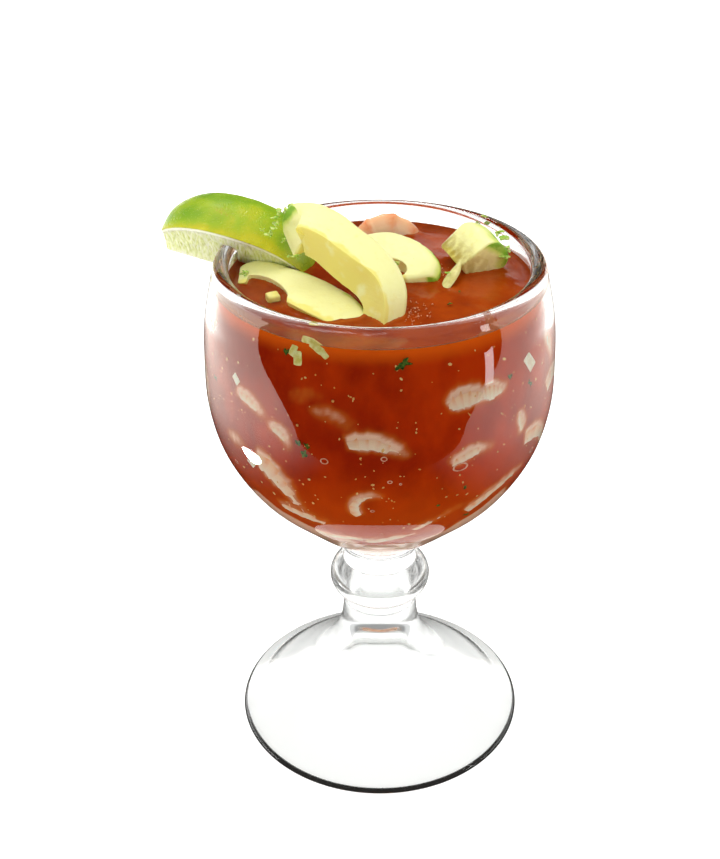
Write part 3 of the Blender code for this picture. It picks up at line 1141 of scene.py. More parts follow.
    def slit_cutter(self, goblet: Goblet) -> Piece:
        """The goblet's rim and upper wall, grown by the slit's room.

        Args:
            goblet: the goblet that the wedge hangs on.

        Returns:
            A scratch piece that cuts the slit.
        """
        low, room = 150.0, self.slit_room
        wall = [p for p in smooth_curve(goblet.bowl_inside, 4) if p.y > low]
        inner = [Vector((p.x - room, p.y)) for p in wall[:-1]]
        grown = goblet.bead_radius + room
        middle = (goblet.rim_middle, goblet.rim_top - goblet.bead_radius)
        bead = arc(middle, (grown, grown), 180, 0, 16)
        outer = [
            Vector((p.x + room, p.y)) for p in smooth_curve(goblet.bowl_outside, 4)[1:] if p.y > low
        ]
        loop = inner + bead + outer
        steps, first, sweep = 120, 30.0, 130.0
        rings = []
        for k in range(steps + 1):
            turn = math.radians(first + sweep * k / steps)
            out = Vector((-math.sin(turn), -math.cos(turn), 0.0))
            rings.append([out * p.x + Vector((0.0, 0.0, p.y)) for p in loop])
        return rolled("slit_cutter", rings)

    def build(
        self, bench: Bench, goblet: Goblet, rind: Material, pulp: Material
    ) -> list[Piece]:
        """Makes the wedge and hangs it on the rim.

        Args:
            bench: where its pieces are laid.
            goblet: the goblet whose rim goes into the slit.
            rind: the rind's material.
            pulp: the pulp's material.

        Returns:
            The rind and the pulp.
        """
        cutter = self.slit_cutter(goblet)
        made = []
        for piece, coat in ((self.rind(), rind), (self.pulp(), pulp)):
            piece.data.transform(self.pose())
            applied(piece, "BOOLEAN", operation="DIFFERENCE", solver="EXACT", object=cutter)
            smoothed(piece, 50.0)
            stands_for = "lime_wedge" if not made else None
            made.append(bench.laid(piece, "lime", coat, stands_for=stands_for))
        bpy.data.objects.remove(cutter)
        return made


# --- Avocado --------------------------------------------------


@dataclass(frozen=True)
class AvocadoSlice:
    """A slice of avocado that follows a path, with the stone's hollow in it.

    Its shares run from 0 at the path's start to 1 at its end. blunt is how wide its two ends are
    cut, hollow is where the stone's hollow starts and ends and how deep it is, slant is how far
    the first end leans, and slimmer is how much the last end loses.
    """

    name: str
    path: Places
    facing: Places
    width: float
    pit_side: float
    skin_side: float
    blunt: tuple[float, float]
    hollow: tuple[float, float, float] = (0.0, 1.0, 0.0)
    stain: float = 0.0
    slant: float = 0.0
    slimmer: float = 0.0
    slant_reach: float = 0.22
    slims_from: float = 0.5
    slims_over: float = 0.4
    stations: int = 72

    def section(
        self, width: float, pit_side: float, skin_side: float, hollow: float
    ) -> list[tuple[float, float]]:
        """(towards the skin, towards the cut face) points round a slice: flat cuts, round skin.

        Args:
            width: from the stone's side to the skin.
            pit_side: the slice's thickness at the stone.
            skin_side: its thickness at the skin.
            hollow: how deep the stone's hollow goes into it here.

        Returns:
            The section's points, once round.
        """
        bulge = 0.30 * width
        pit = -width / 2 + hollow
        shore = width / 2 - bulge
        soft = min(0.18, 0.2 * pit_side)
        points = []
        for share in (0.0, 0.25, 0.5, 0.75, 1.0):
            dent = 0.5 * math.sin(math.pi * share)
            points.append((pit + 0.25 * soft + dent, (share - 0.5) * (pit_side - 1.6 * soft)))
        for k in range(12):
            share = k / 11
            a = pit + soft + (shore - pit - soft) * share
            points.append((a, (pit_side + (skin_side - pit_side) * share) / 2))
        for k in range(1, 14):
            turn = math.radians(90 - 180 * k / 14)
            points.append((shore + bulge * math.cos(turn), skin_side / 2 * math.sin(turn)))
        for k in range(12):
            share = 1 - k / 11
            a = pit + soft + (shore - pit - soft) * share
            points.append((a, -(pit_side + (skin_side - pit_side) * share) / 2))
        return points

    def rings(self) -> tuple[list[list[Vector]], list[list[float]]]:
        """The slice's rings, and how near the skin each point is.

        Returns:
            The rings, and a share from 0 to 1 for each of their points.
        """
        curve = smooth_curve(self.path, 24)
        first, last = self.blunt
        start, end, depth = self.hollow
        rings, nearness = [], []
        for k in range(self.stations):
            share = 0.5 - 0.5 * math.cos(math.pi * k / (self.stations - 1))
            place = share * (len(curve) - 1)
            low = min(int(place), len(curve) - 2)
            centre = curve[low].lerp(curve[low + 1], place - low)
            ahead, behind = min(low + 6, len(curve) - 1), max(low - 5, 0)
            along = (curve[ahead] - curve[behind]).normalized()
            half = int(share >= 0.5)
            look = Vector(self.facing[half]).lerp(Vector(self.facing[half + 1]), 2 * share - half)
            look = (look - along * look.dot(along)).normalized()
            skin = look.cross(along)
            blunt = first + (last - first) * share
            size = blunt + (1 - blunt) * math.sqrt(max(0.0, 1 - (2 * share - 1) ** 2))
            # the last millimetre draws in, so that an end's edges are soft
            reach = min(share, 1 - share) * 60.0
            size *= 1.0 if reach > 1.0 else 0.93 + 0.07 * math.sqrt(max(0.0, reach))
            slim = max(0.0, min(1.0, (share - self.slims_from) / self.slims_over))
            size *= 1.0 - self.slimmer * slim
            inside = max(0.0, math.sin(math.pi * (share - start) / (end - start)))
            hollow = depth * inside**0.5 if start < share < end else 0.0
            section = self.section(
                self.width * size, self.pit_side * size, self.skin_side * size, hollow
            )
            thick = self.pit_side * size
            cut = self.slant * max(0.0, 1.0 - share / self.slant_reach)
            rings.append([
                centre + skin * a + look * b + along * cut * (b / thick + 0.5) for a, b in section
            ])
            nearness.append([a / (self.width * size) + 0.5 for a, b in section])
        return rings, nearness

    def build(self, bench: Bench, flesh: Material) -> Piece:
        """Makes the slice, uneven as a soft fruit under a knife is.

        Args:
            bench: where it is laid.
            flesh: its material.

        Returns:
            The piece.
        """
        rings, nearness = self.rings()
        ends = self.stations - 1

        def skin(row: int, column: int) -> float:
            """How near the skin a point is, with both ends a little greener.

            Args:
                row: its station along the piece.
                column: its place in the ring.

            Returns:
                A share from 0 to 1.
            """
            tip = math.exp(-min(row, ends - row) / 3.0) * 0.25
            blotch = 0.10 * wobble(rings[row][column], 4.0, 6.0)
            return max(0.0, min(1.0, nearness[row][column] ** 1.15 + tip + blotch))

        def stain(row: int, column: int) -> float:
            """How brown it is: most on the stone's side."""
            return self.stain * max(0.0, min(1.0, 1.3 - 2.2 * nearness[row][column]))

        piece = rolled(self.name, rings, {"skin": skin, "stain": stain})
        normals = [v.normal.copy() for v in piece.data.vertices]
        for vert, normal in zip(piece.data.vertices, normals):
            lumps = 0.30 * wobble(vert.co, 6.5) + 0.09 * wobble(vert.co, 1.8, 4.0)
            nicks = -0.6 * max(0.0, wobble(vert.co, 2.6, 9.0) - 0.38)
            vert.co += normal * (lumps + nicks)
        smoothed(piece, 34.0)
        return bench.laid(piece, "avocado", flesh, stands_for=self.name.replace("_slice", ""))


SLICES = (
    AvocadoSlice(
        name="avocado_long_slice",
        path=((-28.5, -1.5, 180.5), (-23, -1, 182.5), (-17, -4.5, 182.5), (-8.5, -11, 178.5),
              (-1, -16.5, 173.5), (2, -22, 168), (1, -26.5, 160), (0, -29.5, 154)),
        facing=((0.22, -0.65, 0.75), (0.35, -0.40, 0.65), (0.75, -0.35, 0.30)),
        width=13.3, pit_side=11.6, skin_side=12.2, blunt=(0.93, 0.50), slant=6.5, slimmer=0.26,
    ),
    AvocadoSlice(
        name="avocado_front_slice",
        path=((-42.2, 4.0, 163.5), (-37.0, 3.5, 164.5), (-28.0, -5.0, 164.8), (-18.5, -15.0, 164.8),
              (-12.0, -21.5, 164.2), (-6.5, -27.5, 163.0)),
        facing=((0.0, 0.0, 1.0), (0.0, -0.05, 1.0), (0.0, -0.15, 1.0)),
        width=17.5, pit_side=4.0, skin_side=6.0, blunt=(0.70, 0.36), hollow=(0.14, 0.54, 6.5),
    ),
    AvocadoSlice(
        name="avocado_back_slice",
        path=((-6.5, 20.0, 166.5), (1.0, 16.5, 167.0), (7.0, 10.5, 167.0), (11.0, 3.5, 166.5),
              (12.2, -3.0, 165.0)),
        facing=((0.0, -0.25, 0.95), (0.0, -0.25, 0.95), (0.05, -0.20, 0.95)),
        width=16.0, pit_side=6.0, skin_side=9.0, blunt=(0.50, 0.50), hollow=(0.45, 0.95, 4.0),
    ),
    AvocadoSlice(
        name="avocado_chunk_slice",
        path=((26.0, 20.0, 169.0), (28.2, 15.5, 169.0), (30.3, 10.8, 168.5), (32.5, 6.0, 167.5)),
        facing=((-0.50, -0.30, 0.80), (-0.50, -0.30, 0.80), (-0.50, -0.30, 0.80)),
        width=15.0, pit_side=12.0, skin_side=12.5, blunt=(0.72, 0.98), stain=0.9,
    ),
)


# --- Prawns ---------------------------------------------------


@dataclass(frozen=True)
class PrawnTail:
    """A cooked tail: a tapering body round an arc, ringed by its segments."""

    name: str
    curl: float
    girth: float
    pose: Matrix
    sweep: tuple[float, float] = (200.0, -50.0)
    flat: float = 0.85
    segments: int = 6
    stations: int = 64
    sides: int = 22

    def build(self) -> Piece:
        """Makes the tail, in the pose's frame: its curl lies in X and Z, its back is outside.

        Returns:
            The piece, not yet laid.
        """
        start, end = self.sweep
        rings = []
        for row in range(self.stations):
            share = row / (self.stations - 1)
            angle = math.radians(start + (end - start) * share)
            out = Vector((math.cos(angle), 0.0, math.sin(angle)))
            taper = math.sin(math.pi * (0.10 + 0.82 * share)) ** 0.5 * (1.0 - 0.30 * share)
            step = (self.segments * share) % 1.0
            ridge = 1.0 + 0.10 * step**2 - 0.02
            girth = self.girth * taper * ridge
            ring = []
            for side in range(self.sides):
                around = math.tau * side / self.sides
                keel = 1.0 + 0.10 * max(0.0, math.cos(around)) ** 4
                point = out * (self.curl + girth * keel * math.cos(around))
                point += Vector((0.0, self.flat * girth * math.sin(around), 0.0))
                dent = 1.0 + 0.03 * wobble(point, 2.4, self.curl)
                ring.append(self.pose @ (point * dent))
            rings.append(ring)

        def back(row: int, column: int) -> float:
            """1 along the tail's back and 0 along its belly."""
            return 0.5 + 0.5 * math.cos(math.tau * column / self.sides)

        def ring_mark(row: int, column: int) -> float:
            """How near the end of its segment a point is."""
            step = (self.segments * row / (self.stations - 1)) % 1.0
            return max(0.0, 1.0 - abs(step - 0.82) / 0.34)

        piece = rolled(self.name, rings, {"back": back, "ring": ring_mark})
        smoothed(piece, 45.0)
        return piece


def placed(origin: Sequence[float], yaw: float = 0.0, lean: float = 0.0) -> Matrix:
    """A pose by its origin, its turn about the upright and its lean back, in degrees."""
    turn = Matrix.Rotation(math.radians(yaw), 4, "Z") @ Matrix.Rotation(math.radians(lean), 4, "X")
    return Matrix.Translation(origin) @ turn


@dataclass(frozen=True)
class SunkPrawn:
    """A prawn in the sauce that lies against the glass."""

    angle: float
    height: float
    curl: float
    girth: float
    roll: float
    press: float
    sweep: tuple[float, float] = (150.0, 20.0)

    def tail(self, number: int, goblet: Goblet) -> Piece:
        """Makes the prawn.

        Args:
            number: its number among the sunk prawns.
            goblet: the goblet whose wall it lies against.

        Returns:
            The piece, not yet laid.
        """
        flat = 0.8
        wall = goblet.wall_frame(self.angle, self.height, flat * self.girth - self.press)
        turn = Matrix.Rotation(math.radians(self.roll), 4, "Y")
        back = Matrix.Translation((0.0, 0.0, -self.curl))
        made = PrawnTail(
            f"sunk_prawn_{number}", self.curl, self.girth, wall @ turn @ back, self.sweep, flat,
            stations=40, sides=16,
        )
        return goblet.pressed(made.build())


SURFACE_PRAWNS = {
    "prawn_middle": PrawnTail("prawn_middle_tail", 8.5, 4.6, placed((2.5, 37.0, 157.8), 4.0, -8.0)),
    "prawn_left": PrawnTail("prawn_left_tail", 7.0, 4.4, placed((-18.5, 36.0, 160.5), 20.0, -6.0)),
}

# against the front of the glass, and then round the back, in the order of the fields
SUNK_PRAWNS = tuple(SunkPrawn(*row) for row in (
    (30, 148.8, 12, 5, 6, 1.6, (125, 60)), (38.5, 148.6, 16, 3.2, 4, 1.3, (105, 75)),
    (0.5, 137.5, 15, 4.2, 16, 1.2, (125, 58)), (-10, 143, 16, 3.2, 42, 0.1, (120, 70)),
    (31, 131.3, 13, 3, -6, 0.9, (122, 62)), (-33.5, 117.5, 22, 6, 58, 1.6, (122, 64)),
    (-25, 106.5, 20, 5.4, 26, 1.2, (122, 62)), (-7, 99, 22, 4.6, 6, 0.9, (125, 58)),
    (12, 101, 20, 4.4, -20, 0.9, (125, 60)), (24, 109, 20, 3, -32, 0.5, (118, 66)),
    (46, 114, 20, 3.4, -24, 1, (122, 62)), (-6.5, 118.8, 5, 2.2, -40, 0.8, (180, 20)),
    (-43.5, 142.5, 14, 3.2, 26, 0.9, (118, 66)), (-31.5, 136, 5, 2.6, 50, 0.8, (150, 40)),
    (-52.5, 126.8, 9, 4, 10, 0.6, (125, 55)), (-23, 150.5, 12, 3.6, -12, -0.2, (120, 60)),
    (-16, 145, 7, 2.2, 30, 0, (130, 60)), (51.5, 133.8, 12, 2.2, 80, 0.9, (108, 72)),
    (72, 150, 14, 3, 65, 0.7, (115, 65)), (84, 138, 13, 4.4, 30, 1), (98, 118, 15, 4.6, -25, 1.2),
    (124, 146, 12, 4.2, 12, 0.9), (150, 128, 14, 4.8, -40, 1.3), (176, 150, 12, 4, 25, 0.9),
    (-165, 112, 16, 4.6, 5, 1.2), (-140, 138, 13, 4.5, -20, 1), (-112, 152, 12, 3.8, 35, 0.8),
    (-100, 121, 15, 4.7, -10, 1.2), (-78, 137, 12, 3.6, 65, 0.9), (70, 122, 14, 3.8, 50, 0.9),
    (-135, 105, 18, 4.4, 15, 1.1), (130, 106, 18, 4.4, -15, 1.1),
))


# --- Small pieces: dice, herbs, seeds, bubbles ----------------


def dice(
    name: str, size: Sequence[float], pose: Matrix, seed: int, soft: float = 0.35
) -> Piece:
    """A small cut piece: a box with soft, uneven edges.

    Args:
        name: its name.
        size: its three sizes.
        pose: where it lies.
        seed: what makes it differ from the next one.
        soft: how far its edges are rounded.

    Returns:
        The piece, not yet laid.
    """
    deselect()
    bpy.ops.mesh.primitive_cube_add(size=1.0)
    piece = taken(name)
    skew = random.Random(seed)
    moved(piece, lambda p: Vector(
        tuple(p[k] * size[k] * skew.uniform(0.82, 1.12) for k in range(3))
    ))
    with editing(piece):
        bpy.ops.mesh.bevel(offset=soft, segments=3)
        bpy.ops.mesh.select_all(action="SELECT")
        bpy.ops.mesh.subdivide(number_cuts=2)
    moved(piece, lambda p: p * (1.0 + 0.07 * wobble(p, 1.4, seed)))
    piece.data.transform(pose)
    outwards(piece)
    smoothed(piece, 60.0)
    return piece


def pebble(
    radius: float, pose: Matrix, detail: int = 2, lumpy: float = 0.0, seed: float = 0.0
) -> Piece:
    """A small round piece.

    Args:
        radius: its radius before the pose.
        pose: where it lies; the pose may stretch it.
        detail: the ball's fineness.
        lumpy: how uneven it is, as a share of its radius.
        seed: what makes it differ from the next one.

    Returns:
        The piece, not yet laid.
    """
    deselect()
    bpy.ops.mesh.primitive_ico_sphere_add(subdivisions=detail, radius=radius)
    piece = taken("pebble")
    if lumpy:
        moved(piece, lambda p: p * (1.0 + lumpy * wobble(p, 0.9 * radius, seed)))
    piece.data.transform(pose)
    return piece


def leaf(size: float, lobes: int, pose: Matrix, seed: int) -> Piece:
    """A torn piece of herb leaf: lobed, thin and a little curled.

    Args:
        size: its length.
        lobes: how many lobes its edge has.
        pose: where it lies, with the leaf in X and Z.
        seed: what makes it differ from the next one.

    Returns:
        The piece, not yet laid.
    """
    tear = random.Random(seed)
    phase, narrow, curl = tear.uniform(0, 6), tear.uniform(0.45, 0.85), tear.uniform(0.1, 0.3)
    deselect()
    bpy.ops.mesh.primitive_circle_add(vertices=36, radius=1.0, fill_type="NGON")
    piece = taken("leaf")
    with editing(piece):
        for _ in range(2):
            bpy.ops.mesh.inset(thickness=0.3)

    def shaped(p: Vector) -> Vector:
        """Bends a point of the disc into the lobed, curled leaf.

        Args:
            p: a point of the disc.

        Returns:
            Its new place.
        """
        around = math.atan2(p.y, p.x)
        reach = p.length
        edge = 0.72 + 0.28 * math.cos(lobes * around + phase) + 0.10 * math.cos(11 * around)
        spread = reach * (1.0 - reach + reach * edge) * size / 2
        flat = Vector((spread * math.cos(around), 0.0, spread * math.sin(around) * narrow))
        flat.y = curl * size * (reach**2) * math.cos(2 * around + phase) * 0.5
        return flat

    moved(piece, shaped)
    applied(piece, "SOLIDIFY", thickness=0.22, offset=0.0)
    piece.data.transform(pose)
    outwards(piece)
    smoothed(piece, 60.0)
    return piece


@dataclass(frozen=True)
class Garnish:
    """Everything small: onion, avocado bits, herbs, seeds, bubble rings of painted reflection, and
    foam.
    """

    level: float = 164.4
    seeds_on_wall: int = 520
    foam_bubbles: int = 150
    crumb_seed: int = 7

    def on_wall(
        self, goblet: Goblet, rows: Places, thick: float, seed: int, soft: float
    ) -> list[Piece]:
        """Cut pieces against the glass.

        Args:
            goblet: the goblet whose wall they lie against.
            rows: (angle, height, width, tall, turn, press) of each.
            thick: their thickness, into the bowl.
            seed: the first one's seed.
            soft: how far their edges are rounded.

        Returns:
            The pieces, not yet laid.
        """
        made = []
        for k, (angle, height, wide, tall, turn, press) in enumerate(rows):
            wall = goblet.wall_frame(angle, height, thick / 2 - press)
            pose = wall @ Matrix.Rotation(math.radians(turn), 4, "Y")
            made.append(goblet.pressed(dice("dice", (wide, thick, tall), pose, seed + k, soft)))
        return made

    def onions(self, goblet: Goblet) -> list[Piece]:
        """Diced onion and slivers of it: (angle, height, width, tall, turn, press)."""
        rows = (
            (-52, 148.1, 3.4, 2.6, 38, 0.5), (56, 151.9, 3.6, 6.2, -32, 0.5),
            (67, 149.5, 3, 6, 8, 0.2), (70, 153, 1.6, 3, 0, 0.3), (-46, 123.8, 3.2, 6, 38, 0.7),
            (-70, 158, 3.5, 4.5, 20, 0.3), (-95, 132, 4, 4, 50, 0.4), (105, 156, 3.8, 3, 15, 0.4),
            (118, 131, 3, 5, -20, 0.4), (160, 141, 4.2, 3.4, 33, 0.4),
            (-150, 154, 3.4, 4.4, -12, 0.4), (-120, 117, 4, 3.6, 62, 0.4),
            (24, 141, 2, 2, 20, -0.1), (12, 147, 1.6, 2.2, 60, -0.15),
        )
        return self.on_wall(goblet, rows, 1.8, 40, 0.35)

    def avocado_bits(self, goblet: Goblet) -> list[Piece]:
        """Avocado under the surface: the bright arch at the front, and a few dice."""
        rows = (
            (-24.5, 166, 3.4, 2.2, 12, 0.5), (-21, 164.6, 4.6, 2.4, 32, 0.55),
            (-18.2, 163, 3, 2, 40, 0.45), (-29, 162.6, 2.4, 3.6, 14, 0.5),
            (-27.2, 160.8, 2.8, 4.6, -8, 0.55), (35.9, 105.6, 8, 4, 20, 0),
            (95, 148, 6, 5, 15, 0.2), (-128, 146, 5, 6, 30, 0.2), (170, 118, 6, 5, -30, 0.2),
        )
        return self.on_wall(goblet, rows, 2.4, 90, 0.5)

    def herbs(self, goblet: Goblet) -> list[Piece]:
        """Torn herb leaves: on the glass (angle, height, size, turn) and on the sauce.

        Args:
            goblet: the goblet whose wall they lie against.

        Returns:
            The leaves, not yet laid.
        """
        on_wall = (
            (-26, 135.6, 3.4, 70), (-24.2, 132.6, 4, 110), (-23.2, 135.4, 2.6, 30),
            (45.3, 151.1, 2.4, 80), (55.7, 145.5, 3.6, 60), (7.3, 161.3, 5.2, -25),
            (-31.4, 161.6, 3, 90), (29.3, 119.6, 1.8, 80), (20.3, 114.7, 1.4, 20),
            (36, 106, 3, 20), (-66, 143, 2.6, 20), (78, 128, 3, 70), (110, 139, 3.6, 10),
            (140, 152, 3, 45), (-155, 126, 3.8, 80), (-105, 142, 3, 0), (165, 106, 3, 30),
            (-86, 112, 2.8, 50),
        )
        made = []
        for k, (angle, height, size, turn) in enumerate(on_wall):
            pose = goblet.wall_frame(angle, height, -0.28)
            pose = pose @ Matrix.Rotation(math.radians(turn), 4, "Y")
            made.append(leaf(size, 3 + k % 3, pose, 200 + k))
        on_sauce = ((20.3, -17.5, 1.9, 30.0), (23.5, -9.0, 0.9, 80.0), (-2.0, 33.0, 1.1, 10.0))
        for k, (x, y, size, turn) in enumerate(on_sauce):
            pose = Matrix.Translation((x, y, self.level + 0.75))
            pose = pose @ Matrix.Rotation(math.radians(turn), 4, "Z")
            pose = pose @ Matrix.Rotation(math.radians(80), 4, "X")
            made.append(leaf(size, 3, pose, 300 + k))
        return made

    def seeds(self, goblet: Goblet) -> list[Piece]:
        """Cream and orange specks of spice and tomato seed, all round the glass.

        Args:
            goblet: the goblet whose wall they lie against.

        Returns:
            The specks, not yet laid.
        """
        pick = random.Random(self.crumb_seed)
        made = []
        for _ in range(self.seeds_on_wall):
            height = 96.0 + 66.0 * pick.random() ** 0.8
            pose = goblet.wall_frame(pick.uniform(-180, 180), height, pick.uniform(-0.45, -0.25))
            pose = pose @ Matrix.Rotation(pick.uniform(0, 3.1), 4, "Y")
            size = pick.choice((0.16, 0.2, 0.2, 0.26, 0.26, 0.34, 0.45))
            stretch = Matrix.Diagonal((pick.uniform(1.0, 1.8), 0.7, 1.0, 1.0))
            made.append(pebble(size, pose @ stretch, detail=1))
        return made

    def foam(self) -> list[Piece]:
        """Fine bubbles on the sauce: patches (x, y, reach x, reach y, share of all).

        Returns:
            The bubbles.
        """
        patches = (
            (9.8, -23.0, 5.0, 7.5, 0.5), (18.8, 6.0, 2.2, 6.0, 0.3), (-20.0, 18.0, 6.0, 3.0, 0.2)
        )
        pick = random.Random(self.crumb_seed + 1)
        made = []
        for x, y, wide, deep, share in patches:
            for _ in range(int(self.foam_bubbles * share)):
                size = pick.choice((0.12, 0.15, 0.18, 0.22, 0.3))
                spot = (x + pick.gauss(0, wide / 2), y + pick.gauss(0, deep / 2), self.level + 0.55)
                made.append(pebble(size, Matrix.Translation(spot), detail=1))
        return made

    def painted_bubble_rings(self, goblet: Goblet) -> list[Piece]:
        """Air bubbles on the glass, drawn as pale rings of painted reflection, the light that each
        bubble's edge mirrors: (angle, height, radius, stretch).

        Args:
            goblet: the goblet whose wall they lie against.

        Returns:
            The rings, not yet laid.
        """
        rows = (
            (26.3, 127.8, 1.25, 1.7), (-17.5, 131.5, 0.85, 1.2), (1.3, 133.6, 0.65, 1.2),
            (3.2, 125.8, 0.45, 1.3), (6.6, 124.9, 0.3, 1), (-2.5, 114.6, 0.4, 1.3),
            (63, 120, 0.8, 1.2), (-58, 118, 0.6, 1.2), (95, 143, 0.9, 1.2), (150, 135, 0.7, 1.3),
            (-120, 129, 0.9, 1.1), (-160, 147, 0.6, 1.2),
        )
        made = []
        for angle, height, radius, stretch in rows:
            deselect()
            bpy.ops.mesh.primitive_torus_add(
                major_radius=radius, minor_radius=0.13 + 0.05 * radius,
                major_segments=28, minor_segments=8,
            )
            ring = taken("ring")
            lying = Matrix.Rotation(math.pi / 2, 4, "X") @ Matrix.Diagonal((stretch, 1.0, 1.0, 1.0))
            ring.data.transform(goblet.wall_frame(angle, height, -0.35) @ lying)
            made.append(ring)
        return made

    def crumbs(self) -> list[Piece]:
        """Soft green bits on the long slice's tip, on the lime, the chunk and the rim.

        Returns:
            The crumbs.
        """
        spots = (
            (-29, 3, 184.6, 2), (-26.5, 4.4, 186.2, 1.6), (-31, 1, 181.6, 1.7),
            (-32.6, 1.5, 179, 1.3), (-22.6, -0.6, 188.4, 0.7), (-32.2, 3.1, 178.6, 0.9),
            (-29, 3.3, 176.4, 1), (-35, 4, 179.2, 0.8), (-24, -6.5, 175, 1), (-27, -4, 174, 0.8),
            (38.6, 12.8, 172.6, 1.8), (39, 9.5, 170.6, 1.7), (38, 7, 168.6, 1.5),
            (36.5, 15.5, 173.6, 1.2), (31.5, 33.8, 169.2, 1.1), (33.2, 33, 171.4, 1.2),
            (34.2, 30.8, 170.4, 1), (10.6, 3.4, 169.6, 1), (20.5, -1, 167.6, 0.8),
            (-40.5, 1, 166.4, 1.1), (-41.5, 3, 165.8, 1.2), (-17.5, 6.5, 172.5, 0.8),
            (5, -3, 171.5, 0.9), (12.5, -1, 168, 0.9),
        )
        pick = random.Random(self.crumb_seed + 2)
        made = []
        for x, y, z, size in spots:
            for _ in range(4):
                spot = Vector((x, y, z)) + Vector([pick.gauss(0.0, 0.42 * size) for _ in range(3)])
                flake = Matrix.Diagonal((pick.uniform(0.9, 1.4), pick.uniform(0.5, 0.8), 0.35, 1.0))
                pose = placed(spot, pick.uniform(0.0, 180.0), pick.uniform(-60.0, 60.0)) @ flake
                made.append(pebble(
                    size * pick.uniform(0.4, 0.75), pose, lumpy=0.55, seed=pick.uniform(0.0, 40.0)
                ))
        return made

    def build(self, bench: Bench, goblet: Goblet, coats: dict[str, Material]) -> None:
        """Makes and lays every kind as one piece.

        Args:
            bench: where they are laid.
            goblet: the goblet that they lie in.
            coats: a material for each kind.
        """
        kinds = (
            ("onion_dice", "onion", self.onions(goblet)),
            ("avocado_dice", "avocado", self.avocado_bits(goblet)),
            ("herb_leaves", "herb", self.herbs(goblet)),
            ("spice_seeds", "sauce", self.seeds(goblet)),
            ("sauce_foam", "sauce", self.foam()),
            ("painted_bubble_glints", "sauce", self.painted_bubble_rings(goblet)),
            ("avocado_crumbs", "avocado", self.crumbs()),
        )
        for name, slot, pieces in kinds:
            piece = joined(name, pieces)
            smoothed(piece, 60.0)
            bench.laid(piece, slot, coats[name])


@dataclass(frozen=True)
class SurfaceBits:
    """The larger bits on the sauce: a yellow cube, and a sliver that leans on the chunk."""

    level: float = 164.4
    sliver_path: Places = (
        (19.0, -5.0, 163.6), (21.0, -2.0, 165.8), (23.0, 1.5, 167.4), (24.4, 5.0, 168.4)
    )
    sliver_sides: int = 14

    def build(self, bench: Bench, flesh: Material) -> None:
        """Makes both.

        Args:
            bench: where they are laid.
            flesh: their material.
        """
        pose = placed((-31.2, -13.1, self.level + 0.4), 25.0, 12.0)
        cube = dice("avocado_cube", (4.2, 3.4, 3.4), pose, 11, 0.6)
        curve = smooth_curve(self.sliver_path, 8)
        rings = []
        for k, centre in enumerate(curve):
            share = k / (len(curve) - 1)
            wide = 1.1 + 1.3 * math.sin(math.pi * min(1.0, share + 0.15))
            ring = []
            for side in range(self.sliver_sides):
                around = math.tau * side / self.sliver_sides
                spread = Vector((0.75, -0.45, 0.2)) * wide * math.cos(around)
                ring.append(centre + spread + Vector((0.0, 0.0, 0.8 * math.sin(around))))
            rings.append(ring)
        sliver = rolled("avocado_sliver", rings, {
            "skin": lambda row, column: 0.2,
            "stain": lambda row, column: 0.5,
        })
        smoothed(sliver, 50.0)
        rated(cube, "skin", [0.05] * len(cube.data.vertices))
        rated(cube, "stain", [0.3] * len(cube.data.vertices))
        for piece in (cube, sliver):
            bench.laid(piece, "avocado", flesh)


# --- The sauce ------------------------------------------------


